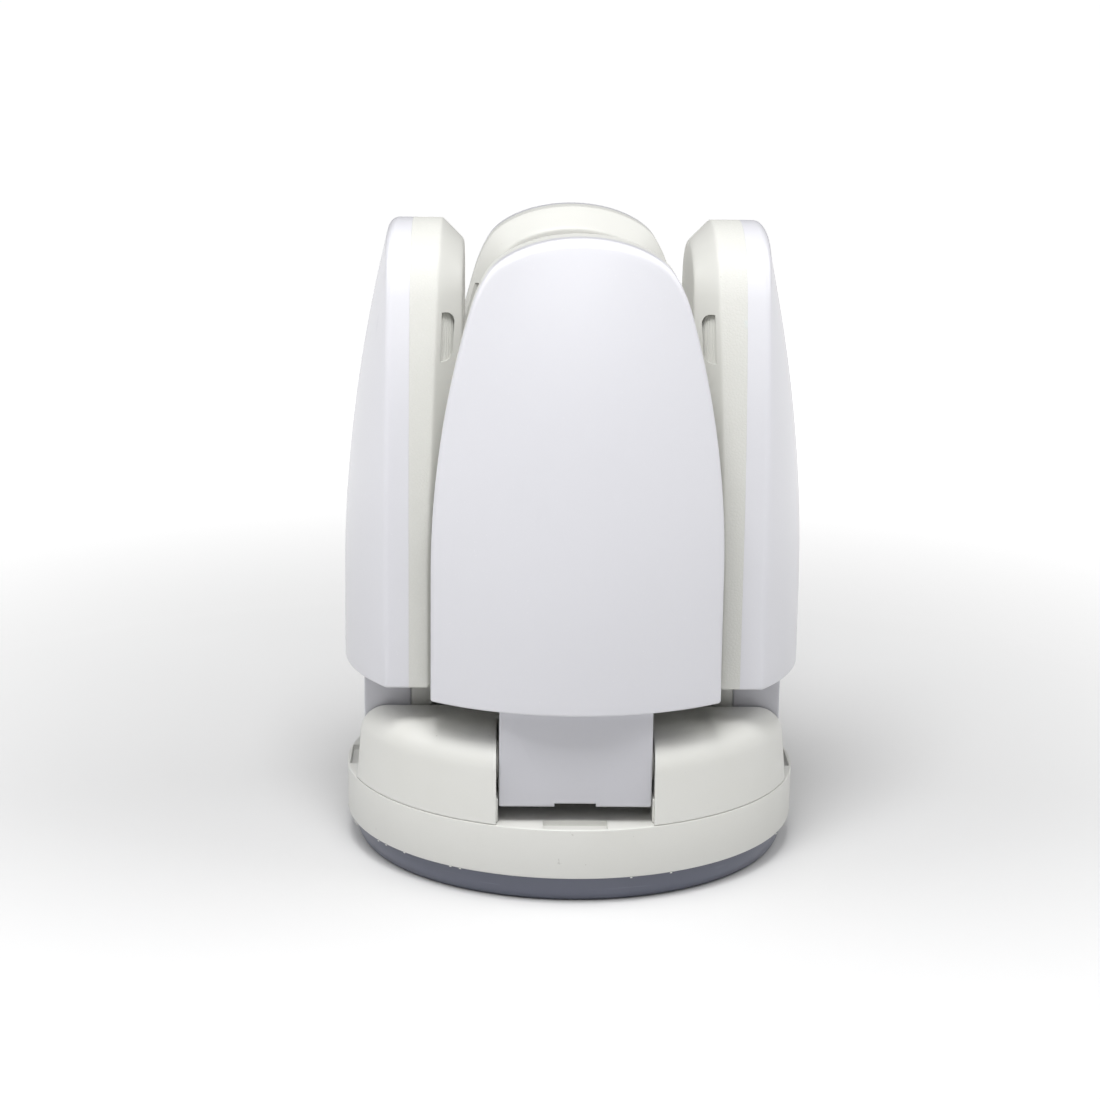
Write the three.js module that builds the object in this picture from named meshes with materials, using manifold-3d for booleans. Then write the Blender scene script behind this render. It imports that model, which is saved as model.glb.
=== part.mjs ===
// Folding four-panel floodlight lamp: a round base with a light of its own underneath, four hinged light
// panels that fold up around a screw base, and the driver column between them.
// Millimetres, +Z up. The origin is the middle of the base's underside, and the front panel faces -Y.
// "Reach" is a distance outwards from the Z axis, square to the panel that it belongs to.
import * as THREE from 'three';
import { mergeVertices } from 'three/addons/utils/BufferGeometryUtils.js';
import Module from 'manifold-3d';

const wasm = await Module();
wasm.setup();

// Clearances
const seam = 0.3; // between two pieces that rest on each other
const slip = 0.1; // all round a pin or screw in its hole
const hingeSideGap = 0.7; // between a panel's neck and the wall of its pocket
const bushFlange = 0.4; // thickness of the bush's rim in that gap

// Base
const ringRadius = 64;
const ringWall = 2.1;
const ringBottom = 7.4;
const deckTop = 21.2;
const deckThickness = 2.6;
const housingTop = 42.7;
const housingFillet = 7.5;
const housingDraft = 1.1;
const lensDepth = 12;
const lensFillet = 1.6;
const wall = 2;
const boardThickness = 1.6;
const wireHoleRadius = 10;
const recessHalfWidth = 8.6;
const recessInset = 1; // from the ring's edge to the recess in the deck
const recessRun = 6.6;
const recessDepth = 1.5;

// Hinges
const hingeInset = 14; // from the ring's radius in to the hinge axis
const hingeHeight = 36;
const pinRadius = 1.5;
const pinGrip = 6; // how far a pin reaches into each pedestal
const bushWall = 1.1;
const bushFlangeRadius = 5.2;
const bushLength = 6;
const neckHalfWidth = 20.4;
const neckBottom = 25.6;
const neckFront = 8.1; // from the hinge axis out to the neck's front
const neckBack = 11; // from the hinge axis in to the neck's back
const neckSwing = 1.4; // room behind the neck's lower corner as it turns

// Panels
const panelBottom = 52.7;
const panelTop = 176.1;
const panelTaperRise = 35.3; // straight part of the panel's sides
const panelTaper = 10.4; // how much narrower each side is where the arch begins
const archRise = 18.1;
const splitInset = 5; // from the hinge axis in to the joint between cover and shell
const skirt = 6.2; // straight side of the cover
const bulge = 13.2; // how far the cover's middle stands out past the skirt
const bulgeStraight = 22.3; // height over which the bulge keeps its full size
const coverTopRound = 3.5;
const coverSideRound = 2.8;
const shellSideBottom = 5.15; // width of the shell's side wall along the straight part
const shellSideTop = 8.1;
const innerFaceInset = 14; // from the joint plane in to the shell's flat inner face
const cornerGap = 1.1; // between neighbouring panels
const slotHeight = 14;
const slotBelowTop = 22.1;
const slotRun = 4.6;
const slotCorner = 2;
const notchHalfWidth = 5.55;
const notchHeight = 1.2;
const notchDepth = 3;
const plateThickness = 2;
const plateInset = 4.5;
const finThickness = 1;
const finMargin = 7.35; // from the arch's half width in to the outermost fins
const finPairs = 3;
const finDepth = 5.4;
const screwRise = 18; // lower panel screw above the panel's bottom
const screwDrop = 30; // upper panel screw below the panel's top

// Screws
const shankRadius = 1.3;
const headRadius = 2.7;
const headHeight = 1.5;
const bossWall = 1.7;
const housingScrewReach = 46;
const housingScrewLength = 14;

// Column and screw base
const columnClearance = 3; // between the column and the folded panels
const columnShoulder = 9;
const capDrop = 23.8; // from the folded panels' top down to the cap's top
const capRadius = 13.2;
const capHeight = 24;
const capWall = 0.9;
const threadDepth = 0.65;
const threadPitch = 3.63;
const capSpigot = 12;

// Smoothness
const roundSides = 56;
const smallSides = 10;

// Places worked out from the sizes above
const hingeReach = ringRadius - hingeInset;
const splitReach = hingeReach - splitInset;
const skirtReach = splitReach + skirt;
const innerReach = splitReach - innerFaceInset;
const panelHalfWidth = splitReach - shellSideBottom - cornerGap;
const archHalfWidth = panelHalfWidth - panelTaper;
const taperStart = panelBottom + panelTaperRise;
const archCentre = panelTop - archRise;
const pocketHalfWidth = neckHalfWidth + hingeSideGap;
const pocketBack = hingeReach - Math.hypot(neckBack, hingeHeight - neckBottom) - neckSwing;
const bushHoleRadius = pinRadius + slip + bushWall;
const lensRadius = ringRadius - ringWall - seam;
const columnRadius = innerReach - columnClearance;
const columnBottom = housingTop + seam;
const capTop = panelTop - capDrop;
const capBottom = capTop - capHeight;
const columnTop = capBottom - seam - columnShoulder;
const plateReach = splitReach - seam - plateThickness;
const ledReach = splitReach + seam;
const panelScrewHeights = { lower: panelBottom + screwRise, upper: panelTop - screwDrop };
const panelScrewLength = splitReach + skirt - innerReach - headHeight - seam;

// ---- Solids ----

function looseGeometry(geometry) {
  geometry.deleteAttribute('normal');
  geometry.deleteAttribute('uv');
  return mergeVertices(geometry, 1e-4);
}

function signedVolume(positions, triangles) {
  const corner = [new THREE.Vector3(), new THREE.Vector3(), new THREE.Vector3()];
  let volume = 0;
  for (let i = 0; i < triangles.length; i += 3) {
    corner.forEach((point, k) => point.fromArray(positions, 3 * triangles[i + k]));
    volume += corner[0].dot(corner[1].cross(corner[2])) / 6;
  }
  return volume;
}

// A closed geometry as a solid, without zero-width triangles and with its faces pointing out.
function solid(geometry) {
  const merged = looseGeometry(geometry);
  const positions = merged.attributes.position.array;
  const triangles = [];
  const index = merged.index.array;
  for (let i = 0; i < index.length; i += 3) {
    const [a, b, c] = index.slice(i, i + 3);
    if (a !== b && b !== c && c !== a) triangles.push(a, b, c);
  }
  if (signedVolume(positions, triangles) < 0) triangles.reverse();
  const mesh = new wasm.Mesh({
    numProp: 3,
    vertProperties: Float32Array.from(positions),
    triVerts: Uint32Array.from(triangles),
  });
  return new wasm.Manifold(mesh);
}

function join(first, ...rest) {
  return rest.reduce((sum, piece) => sum.add(piece), first);
}

function cut(first, ...rest) {
  return rest.reduce((left, piece) => left.subtract(piece), first);
}

function toGeometry(body) {
  const mesh = body.getMesh();
  const geometry = new THREE.BufferGeometry();
  geometry.setAttribute('position', new THREE.BufferAttribute(new Float32Array(mesh.vertProperties), 3));
  geometry.setIndex(new THREE.BufferAttribute(new Uint32Array(mesh.triVerts), 1));
  return geometry;
}

function block([x0, x1], [y0, y1], [z0, z1]) {
  const geometry = new THREE.BoxGeometry(x1 - x0, y1 - y0, z1 - z0);
  geometry.translate((x0 + x1) / 2, (y0 + y1) / 2, (z0 + z1) / 2);
  return solid(geometry);
}

// A block in a panel's terms: half its width, its reach from and to, and its height from and to.
function panelBlock(halfWidth, [reach0, reach1], heights) {
  return block([-halfWidth, halfWidth], [-reach1, -reach0], heights);
}

// A solid of revolution about Z. The profile is a closed list of [radius, height].
function turned(profile, sides = roundSides) {
  const points = [...profile, profile[0]].map(([radius, height]) => new THREE.Vector2(radius, height));
  const geometry = new THREE.LatheGeometry(points, sides);
  geometry.rotateX(Math.PI / 2);
  return solid(geometry);
}

function arcPoints(centreRadius, centreHeight, radius, fromDegrees, toDegrees, steps) {
  return Array.from({ length: steps + 1 }, (_, i) => {
    const angle = THREE.MathUtils.degToRad(fromDegrees + ((toDegrees - fromDegrees) * i) / steps);
    return [centreRadius + radius * Math.cos(angle), centreHeight + radius * Math.sin(angle)];
  });
}

function rodUp(radius, [x, y], [z0, z1], sides = smallSides) {
  const geometry = new THREE.CylinderGeometry(radius, radius, z1 - z0, sides);
  geometry.rotateX(Math.PI / 2);
  geometry.translate(x, y, (z0 + z1) / 2);
  return solid(geometry);
}

// A rod along X at the front hinge's axis.
function rodAcross(radius, [x0, x1], sides = smallSides) {
  const geometry = new THREE.CylinderGeometry(radius, radius, x1 - x0, sides);
  geometry.rotateZ(Math.PI / 2);
  geometry.translate((x0 + x1) / 2, -hingeReach, hingeHeight);
  return solid(geometry);
}

// A rod square to the front panel, on its middle line.
function rodThrough(radius, height, [reach0, reach1], sides = smallSides) {
  const geometry = new THREE.CylinderGeometry(radius, radius, reach1 - reach0, sides);
  geometry.translate(0, -(reach0 + reach1) / 2, height);
  return solid(geometry);
}

function screwProfile(shankLength) {
  return [
    [0, 0],
    [headRadius, 0],
    [headRadius, headHeight],
    [shankRadius, headHeight],
    [shankRadius, headHeight + shankLength - shankRadius],
    [0, headHeight + shankLength],
  ];
}

function screw(shankLength) {
  const points = screwProfile(shankLength).map(([radius, height]) => new THREE.Vector2(radius, height));
  const geometry = new THREE.LatheGeometry(points, smallSides);
  geometry.rotateX(Math.PI / 2);
  return geometry;
}

// ---- Panel outline and face ----

const taperRadius = ((archCentre - taperStart) ** 2 + panelTaper ** 2) / (2 * panelTaper);

function sideHalfWidth(height) {
  const rise = Math.max(0, height - taperStart);
  return panelHalfWidth - taperRadius + Math.sqrt(taperRadius ** 2 - rise ** 2);
}

function shellSideWidth(height) {
  const share = Math.max(0, height - taperStart) / (panelTop - taperStart);
  return THREE.MathUtils.lerp(shellSideBottom, shellSideTop, share);
}

// How deep the shell's 45 degree chamfer is at a height.
function chamferDepth(height) {
  return innerFaceInset - shellSideWidth(height);
}

// The panel's outline, drawn in by an inset: x across and y up, anticlockwise from the lower right corner.
// The inset is a number, or a function of the height.
function outline(drawnIn) {
  const sideSteps = 5;
  const archSteps = 5;
  const archFrom = 18;
  const insetAt = typeof drawnIn === 'function' ? drawnIn : () => drawnIn;
  const right = [new THREE.Vector2(panelHalfWidth - insetAt(panelBottom), panelBottom + insetAt(panelBottom))];
  for (let i = 0; i < sideSteps; i++) {
    const height = taperStart + ((archCentre - taperStart) * i) / (sideSteps - 1);
    right.push(new THREE.Vector2(sideHalfWidth(height) - insetAt(height), height));
  }
  for (let i = 0; i < archSteps; i++) {
    const angle = THREE.MathUtils.degToRad(archFrom + ((90 - archFrom) * i) / archSteps);
    const inset = insetAt(archCentre + archRise * Math.sin(angle));
    const height = archCentre + (archRise - inset) * Math.sin(angle);
    const halfWidth = Math.min(sideHalfWidth(height) - inset, (archHalfWidth - inset) * Math.cos(angle));
    right.push(new THREE.Vector2(halfWidth, height));
  }
  const left = right.map((point) => new THREE.Vector2(-point.x, point.y)).reverse();
  return [...right, new THREE.Vector2(0, panelTop - insetAt(panelTop)), ...left];
}

// How far the rounding of an edge drops at a distance in from that edge.
function edgeDrop(distance, size) {
  return (size / 2) * (1 - Math.min(1, distance / size)) ** 2;
}

// How far out the cover's face stands at a distance across and a height.
function faceReach(across, height) {
  const fade = Math.max(0, height - panelBottom - bulgeStraight) / (panelTop - panelBottom - bulgeStraight);
  const sagitta = Math.max(0.01, bulge * (1 - fade ** 2));
  const halfChord = Math.max(archHalfWidth / 2, sideHalfWidth(height));
  const arcRadius = (halfChord ** 2 + sagitta ** 2) / (2 * sagitta);
  const drop = arcRadius - Math.sqrt(arcRadius ** 2 - across ** 2);
  const sideDrop = edgeDrop(sideHalfWidth(height) - Math.abs(across), coverSideRound);
  return skirtReach + sagitta - drop - sideDrop - edgeDrop(panelTop - height, coverTopRound);
}

function shellSideReach(point) {
  return splitReach - shellSideWidth(point.y);
}

// A closed solid through layers of matching outlines, each with a reach of its own.
function loft(layers) {
  const first = layers[0].points;
  const steps = layers.length - 1;
  const settings = { depth: steps, steps, bevelEnabled: false };
  const geometry = new THREE.ExtrudeGeometry(new THREE.Shape(first), settings);
  const position = geometry.attributes.position;
  for (let v = 0; v < position.count; v++) {
    const layer = layers[Math.round(position.getZ(v))];
    const here = new THREE.Vector2(position.getX(v), position.getY(v));
    const point = layer.points[first.findIndex((candidate) => candidate.distanceTo(here) < 1e-3)];
    position.setXYZ(v, point.x, -layer.reach(point), point.y);
  }
  return solid(geometry);
}

function panelPrism(inset, [reach0, reach1]) {
  const points = outline(inset);
  return loft([
    { points, reach: () => reach0 },
    { points, reach: () => reach1 },
  ]);
}

// The cover's outer form, or the hollow in it when inset is the wall: a block whose front follows the face,
// kept inside the panel's outline.
function coverForm(inset, back) {
  const columns = 10;
  const rows = 14;
  const margin = 1;
  const geometry = new THREE.BoxGeometry(2, 2, 1, columns, 1, rows);
  const position = geometry.attributes.position;
  for (let v = 0; v < position.count; v++) {
    const share = position.getZ(v) + 0.5;
    const fromTop = (panelTop - panelBottom + 2 * margin) * (1 - share) ** 1.4;
    const height = panelTop + margin - fromTop;
    const across = Math.sin((position.getX(v) * Math.PI) / 2) * (sideHalfWidth(height) + margin);
    const reach = position.getY(v) < 0 ? faceReach(across, height) - inset : back;
    position.setXYZ(v, across, -reach, height);
  }
  return solid(geometry).intersect(panelPrism(inset, [back, ringRadius + bulge]));
}

// The shell's outer form with its chamfer, or the hollow in it when inset is the wall.
function shellForm(inset, front) {
  return loft([
    { points: outline((height) => chamferDepth(height) + inset / 2), reach: () => innerReach + inset },
    { points: outline(inset), reach: (point) => shellSideReach(point) + inset / 2 },
    { points: outline(inset), reach: () => front },
  ]);
}

// ---- Panel pieces, as they stand at the front ----

function panelCover() {
  const overlap = 1.5;
  const body = coverForm(0, splitReach + seam / 2);
  const neck = panelBlock(neckHalfWidth, [splitReach + seam / 2, hingeReach + neckFront],
    [neckBottom, panelBottom + overlap]);
  const hollow = coverForm(wall, splitReach - 1);
  const neckHollow = panelBlock(neckHalfWidth - wall, [splitReach - 1, hingeReach + neckFront - wall],
    [neckBottom + wall, panelBottom + 2 * wall]);
  const notch = panelBlock(notchHalfWidth,
    [hingeReach + neckFront - notchDepth, hingeReach + neckFront + 1], [neckBottom - 1, neckBottom + notchHeight]);
  const bushHole = rodAcross(bushHoleRadius + slip, [-neckHalfWidth - 1, neckHalfWidth + 1]);
  const cover = cut(join(body, neck), hollow, neckHollow, notch, bushHole);
  const bosses = Object.values(panelScrewHeights).map((height) => {
    const face = faceReach(0, height) - wall / 2;
    return cut(rodThrough(shankRadius + bossWall, height, [ledReach + 2 * boardThickness, face], 12),
      rodThrough(shankRadius + slip, height, [0, panelScrewLength + innerReach + headHeight + 1], 12));
  });
  return toGeometry(join(cover, ...bosses));
}

function slotCutter(side) {
  const top = panelTop - slotBelowTop;
  const bottom = top - slotHeight;
  const outer = -shellSideReach(new THREE.Vector2(0, (top + bottom) / 2));
  const inner = outer + slotRun;
  const shape = new THREE.Shape();
  shape.moveTo(outer, bottom);
  shape.lineTo(inner - slotCorner, bottom);
  shape.absarc(inner - slotCorner, bottom + slotCorner, slotCorner, -Math.PI / 2, 0);
  shape.absarc(inner - slotCorner, top - slotCorner, slotCorner, 0, Math.PI / 2);
  shape.lineTo(outer, top);
  const reachIn = archHalfWidth / 2;
  const geometry = new THREE.ExtrudeGeometry(shape, {
    depth: panelHalfWidth - reachIn, bevelEnabled: false, curveSegments: 5,
  });
  // The shape's x axis becomes Y, its y axis Z, and the extrusion runs along X.
  geometry.applyMatrix4(new THREE.Matrix4().makeBasis(
    new THREE.Vector3(0, 1, 0), new THREE.Vector3(0, 0, 1), new THREE.Vector3(1, 0, 0)));
  geometry.translate(side > 0 ? reachIn : -panelHalfWidth, 0, 0);
  return solid(geometry);
}

function panelShell() {
  const front = splitReach - seam / 2;
  const neck = panelBlock(neckHalfWidth, [hingeReach - neckBack, front], [neckBottom, panelBottom + wall / 2]);
  const neckHollow = panelBlock(neckHalfWidth - wall, [hingeReach - neckBack + wall, front + 1],
    [neckBottom + wall, panelBottom + 2 * wall]);
  const shell = cut(join(shellForm(0, front), neck), shellForm(wall, front + 1), neckHollow,
    slotCutter(-1), slotCutter(1));
  const headHole = headRadius + slip;
  const bosses = Object.values(panelScrewHeights).map((height) =>
    rodThrough(headHole + bossWall, height, [innerReach + wall / 2, plateReach - seam]));
  const holes = Object.values(panelScrewHeights).map((height) =>
    join(rodThrough(headHole, height, [innerReach - 1, innerReach + headHeight + seam]),
      rodThrough(shankRadius + slip, height, [innerReach, plateReach])));
  return toGeometry(cut(join(shell, ...bosses), ...holes));
}

function screwHoles(reaches) {
  return Object.values(panelScrewHeights).map((height) => rodThrough(shankRadius + slip, height, reaches));
}

function panelHeatSink() {
  const plate = panelPrism(plateInset, [plateReach, plateReach + plateThickness]);
  const finFrom = panelBottom + plateInset + chamferDepth(panelBottom);
  const finTo = archCentre - plateInset;
  const finPitch = (archHalfWidth - finMargin) / finPairs;
  const fins = [];
  for (let i = 1; i <= finPairs; i++) {
    for (const side of [-1, 1]) {
      const middle = side * i * finPitch;
      fins.push(block([middle - finThickness / 2, middle + finThickness / 2],
        [-plateReach - finThickness / 2, -plateReach + finDepth], [finFrom, finTo]));
    }
  }
  return toGeometry(cut(join(plate, ...fins), ...screwHoles([0, ringRadius])));
}

function panelLedBoard() {
  const board = panelPrism(plateInset, [ledReach, ledReach + boardThickness]);
  return toGeometry(cut(board, ...screwHoles([0, ringRadius])));
}

function hingeBush(side) {
  const start = neckHalfWidth - wall;
  const rim = neckHalfWidth + (hingeSideGap - bushFlange) / 2;
  const span = (from, to) => (side > 0 ? [from, to] : [-to, -from]);
  const sleeve = rodAcross(bushHoleRadius, span(start + wall - bushLength, rim + bushFlange / 2));
  const flange = rodAcross(bushFlangeRadius, span(rim, rim + bushFlange), 2 * smallSides);
  return toGeometry(cut(join(sleeve, flange), rodAcross(pinRadius + slip, span(0, rim + 1))));
}

function panelScrew() {
  const geometry = screw(panelScrewLength);
  geometry.rotateX(Math.PI / 2); // the head now faces the middle of the lamp
  return geometry;
}

// ---- Base pieces ----

function lens() {
  const inner = lensRadius - wall;
  const corner = arcPoints(lensRadius - lensFillet, lensFillet, lensFillet, -90, 0, 4);
  const points = [[0, 0], ...corner, [lensRadius, lensDepth], [inner, lensDepth], [inner, wall], [0, wall]];
  return toGeometry(turned(points));
}

function deckRecess() {
  const to = ringRadius - recessInset;
  return panelBlock(recessHalfWidth, [to - recessRun, to], [deckTop - recessDepth, deckTop + 1]);
}

function aroundFour(piece) {
  return [0, 90, 180, 270].map((angle) => piece.rotate([0, 0, angle]));
}

function baseRing() {
  const inner = ringRadius - ringWall;
  const ledge = deckTop - deckThickness - 2 * wall / 3;
  const profile = [
    [wireHoleRadius, deckTop - deckThickness],
    [inner - wall, deckTop - deckThickness],
    [inner - wall, ledge],
    [inner, ledge],
    [inner, ringBottom],
    [ringRadius - 0.4, ringBottom],
    [ringRadius, ringBottom + 0.4],
    [ringRadius, deckTop],
    [wireHoleRadius, deckTop],
  ];
  const holes = housingScrewPlaces().map((place) =>
    rodUp(shankRadius + slip, place, [ringBottom, deckTop + 1]));
  return toGeometry(cut(turned(profile), ...aroundFour(deckRecess()), ...holes));
}

function housingScrewPlaces() {
  return [45, 135, 225, 315].map((degrees) => {
    const angle = THREE.MathUtils.degToRad(degrees);
    return [housingScrewReach * Math.cos(angle), housingScrewReach * Math.sin(angle)];
  });
}

function housingForm(inset, bottom) {
  const top = housingTop - inset;
  const radius = ringRadius - inset;
  const shoulder = radius - housingDraft;
  const fillet = housingFillet - inset;
  const arc = arcPoints(shoulder - fillet, top - fillet, fillet, 0, 90, 5);
  return turned([[0, bottom], [radius, bottom], ...arc, [0, top]]);
}

function pocket(grow) {
  return panelBlock(pocketHalfWidth + grow, [pocketBack - grow, ringRadius + 2 * wall],
    [deckTop - wall, housingTop + wall]);
}

function topHousing() {
  const bottom = deckTop + seam;
  const body = cut(housingForm(0, bottom), ...aroundFour(pocket(0)));
  const hollow = cut(housingForm(wall, bottom - 1), ...aroundFour(pocket(wall)));
  const pinBosses = [];
  const pinHoles = [];
  for (const side of [-1, 1]) {
    const span = (from, to) => (side > 0 ? [from, to] : [-to, -from]);
    const inside = pocketHalfWidth + wall / 2;
    pinBosses.push(...aroundFour(rodAcross(pinRadius + bossWall, span(inside, pocketHalfWidth + pinGrip + wall))));
    pinHoles.push(...aroundFour(rodAcross(pinRadius + slip, span(pocketHalfWidth - 1, pocketHalfWidth + pinGrip + slip))));
  }
  const screwBosses = housingScrewPlaces().map((place) =>
    rodUp(shankRadius + bossWall, place, [bottom, housingTop - wall / 2]));
  const pilots = housingScrewPlaces().map((place) =>
    rodUp(shankRadius + slip, place, [bottom - 1, deckTop + housingScrewLength]));
  const wireHole = rodUp(wireHoleRadius, [0, 0], [bottom, housingTop + 1], 24);
  return toGeometry(cut(join(cut(body, hollow), ...pinBosses, ...screwBosses), ...pinHoles, ...pilots, wireHole));
}

function disc(radius, bottom, thickness) {
  return turned([[0, bottom], [radius, bottom], [radius, bottom + thickness], [0, bottom + thickness]]);
}

function hingePin() {
  const half = pocketHalfWidth + pinGrip;
  return toGeometry(rodAcross(pinRadius, [-half, half]));
}

function column() {
  const neck = capRadius - capWall - threadDepth - slip;
  const profile = (inset) => [
    [0, columnBottom - inset],
    [columnRadius - inset, columnBottom - inset],
    [columnRadius - inset, columnTop - inset],
    [capRadius - inset + wall, capBottom - seam - inset],
    [neck - inset, capBottom - seam - inset],
    [neck - inset, capBottom + capSpigot - inset],
    [0, capBottom + capSpigot - inset],
  ];
  const spigotHole = rodUp(neck / 2, [0, 0], [columnTop, capTop]);
  return toGeometry(cut(turned(profile(0), 32), turned(profile(wall), 32), spigotHole));
}

// The cap's thread: each point's distance from the axis follows the helix at its angle and height.
function screwShell() {
  const rows = 14;
  const threadTop = capTop - capWall - 2;
  const tip = capRadius * 0.6;
  const outer = [];
  const inner = [];
  for (let i = 0; i <= rows; i++) {
    const height = capBottom + ((threadTop - capBottom) * i) / rows;
    outer.push([capRadius, height]);
    inner.push([capRadius - capWall, height]);
  }
  const profile = [...outer, [tip, capTop], [tip, capTop - capWall], ...inner.reverse()];
  const points = [...profile, profile[0]].map(([radius, height]) => new THREE.Vector2(radius, height));
  const geometry = new THREE.LatheGeometry(points, 20);
  geometry.rotateX(Math.PI / 2);
  const position = geometry.attributes.position;
  for (let v = 0; v < position.count; v++) {
    const radius = Math.hypot(position.getX(v), position.getY(v));
    const height = position.getZ(v);
    const turn = Math.atan2(position.getY(v), position.getX(v));
    const fade = Math.min(1, (height - capBottom) / 2, Math.max(0, threadTop - height) / 2);
    const wave = (1 - Math.cos((2 * Math.PI * height) / threadPitch - turn)) / 2;
    const scale = 1 - (Math.max(0, fade) * threadDepth * wave) / radius;
    position.setXY(v, position.getX(v) * scale, position.getY(v) * scale);
  }
  return toGeometry(solid(geometry));
}

function contactInsulator() {
  const outer = capRadius * 0.6;
  const skirtDepth = 2.4;
  return toGeometry(turned([
    [wall, capTop - skirtDepth],
    [outer - slip - 1, capTop - skirtDepth],
    [outer - slip - 1, capTop + seam],
    [outer, capTop + seam],
    [outer - 2.6, capTop + 3],
    [wall, capTop + 3],
  ], 20));
}

function centreContact() {
  const base = capTop + 3 + seam;
  return toGeometry(turned([[0, base], [4.8, base], [4.8, base + 0.8], [3.2, base + 2], [0, base + 2.4]], 20));
}

const boardHalfWidth = columnRadius - wall - 4;
const driverBottom = columnBottom + 5;
const driverTop = columnTop - 6;

function driverBoard() {
  const half = boardThickness / 2;
  return toGeometry(block([-half, half], [-boardHalfWidth, boardHalfWidth], [driverBottom, driverTop]));
}

function transformer() {
  const start = boardThickness / 2 + seam;
  const depth = columnRadius / 2;
  const half = columnRadius / 3;
  const core = block([start, start + depth], [-half, half], [driverBottom + 6, driverBottom + 24]);
  const winding = block([start + 1, start + depth - 1], [-half - 2, half + 2], [driverBottom + 10, driverBottom + 20]);
  return toGeometry(join(core, winding));
}

function capacitor() {
  const radius = columnRadius / 4.5;
  const place = [-boardThickness / 2 - seam - radius, 0];
  return toGeometry(rodUp(radius, place, [driverBottom + 10, driverBottom + 34]));
}

function contactLead() {
  const rim = 1.2;
  const circle = new THREE.Shape().absarc(0, 0, 0.9, 0, 2 * Math.PI);
  const path = new THREE.CatmullRomCurve3([
    new THREE.Vector3(0, 0, driverTop + seam),
    new THREE.Vector3(rim, 0, THREE.MathUtils.lerp(driverTop, capTop, 0.4)),
    new THREE.Vector3(0, rim, THREE.MathUtils.lerp(driverTop, capTop, 0.75)),
    new THREE.Vector3(0, 0, capTop + 3),
  ]);
  const tube = new THREE.ExtrudeGeometry(circle, {
    steps: 10, curveSegments: 4, bevelEnabled: false, extrudePath: path,
  });
  return toGeometry(solid(tube));
}

// ---- Materials ----

function finish(color, roughness, metalness = 0) {
  return () => new THREE.MeshStandardMaterial({ color, roughness, metalness });
}

const opal = finish(0xe4e4ea, 0.28);
const cream = finish(0xd6d7d1, 0.5);
const smokedLens = finish(0x7a7f8c, 0.35);
const boardWhite = finish(0xeef0ee, 0.4);
const boardGreen = finish(0x2f6b46, 0.5);
const aluminium = finish(0xb9bcc0, 0.35, 0.9);
const nickel = finish(0xc9c5bb, 0.25, 1);
const brass = finish(0xc9a45a, 0.3, 1);
const steel = finish(0xa6a8ab, 0.3, 1);
const blackGlass = finish(0x16161a, 0.15);
const nylon = finish(0xe9e8e0, 0.45);
const darkPlastic = finish(0x2b2d33, 0.45);

// ---- Assembly ----

const group = new THREE.Group();

function add(parent, name, geometry, material, [x, y, z] = [0, 0, 0]) {
  const mesh = new THREE.Mesh(geometry, material());
  mesh.name = name;
  mesh.position.set(x, y, z);
  parent.add(mesh);
}

const lensTop = lensDepth + seam;
const sinkBottom = lensTop + boardThickness + seam;
add(group, 'bottom_lens', lens(), smokedLens);
add(group, 'base_led_board', toGeometry(disc(lensRadius, lensTop, boardThickness)), boardWhite);
add(group, 'base_heat_plate', toGeometry(disc(lensRadius, sinkBottom, boardThickness)), aluminium);
add(group, 'base_ring', baseRing(), cream);
add(group, 'top_housing', topHousing(), cream);
add(group, 'driver_column', column(), cream);
add(group, 'driver_board', driverBoard(), boardGreen);
add(group, 'driver_transformer', transformer(), darkPlastic);
add(group, 'driver_capacitor', capacitor(), darkPlastic);
add(group, 'contact_lead', contactLead(), darkPlastic);
add(group, 'screw_shell', screwShell(), nickel);
add(group, 'contact_insulator', contactInsulator(), blackGlass);
add(group, 'centre_contact', centreContact(), brass);

const housingScrewBottom = deckTop - deckThickness - seam - headHeight;
housingScrewPlaces().forEach(([x, y], i) => {
  const screwName = `housing_screw_${i + 1}`;
  add(group, screwName, screw(housingScrewLength), steel, [x, y, housingScrewBottom]);
});

const sides = { front: 0, right: 90, back: 180, left: 270 };
for (const [side, degrees] of Object.entries(sides)) {
  const panel = new THREE.Group();
  panel.rotation.z = THREE.MathUtils.degToRad(degrees);
  add(panel, `${side}_cover`, panelCover(), opal);
  add(panel, `${side}_shell`, panelShell(), cream);
  add(panel, `${side}_heat_sink`, panelHeatSink(), aluminium);
  add(panel, `${side}_led_board`, panelLedBoard(), boardWhite);
  add(panel, `${side}_bush_a`, hingeBush(-1), nylon);
  add(panel, `${side}_bush_b`, hingeBush(1), nylon);
  add(panel, `${side}_hinge_pin`, hingePin(), steel);
  for (const [place, height] of Object.entries(panelScrewHeights)) {
    add(panel, `${side}_screw_${place}`, panelScrew(), steel, [0, -innerReach - seam, height]);
  }
  group.add(panel);
}

export default group;
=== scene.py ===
import logging
import math
from dataclasses import dataclass, field
from enum import Enum
from functools import cached_property
from typing import Any, Iterable, Sequence, Union

import bmesh
import bpy
import numpy as np
from mathutils import Matrix, Vector


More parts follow.
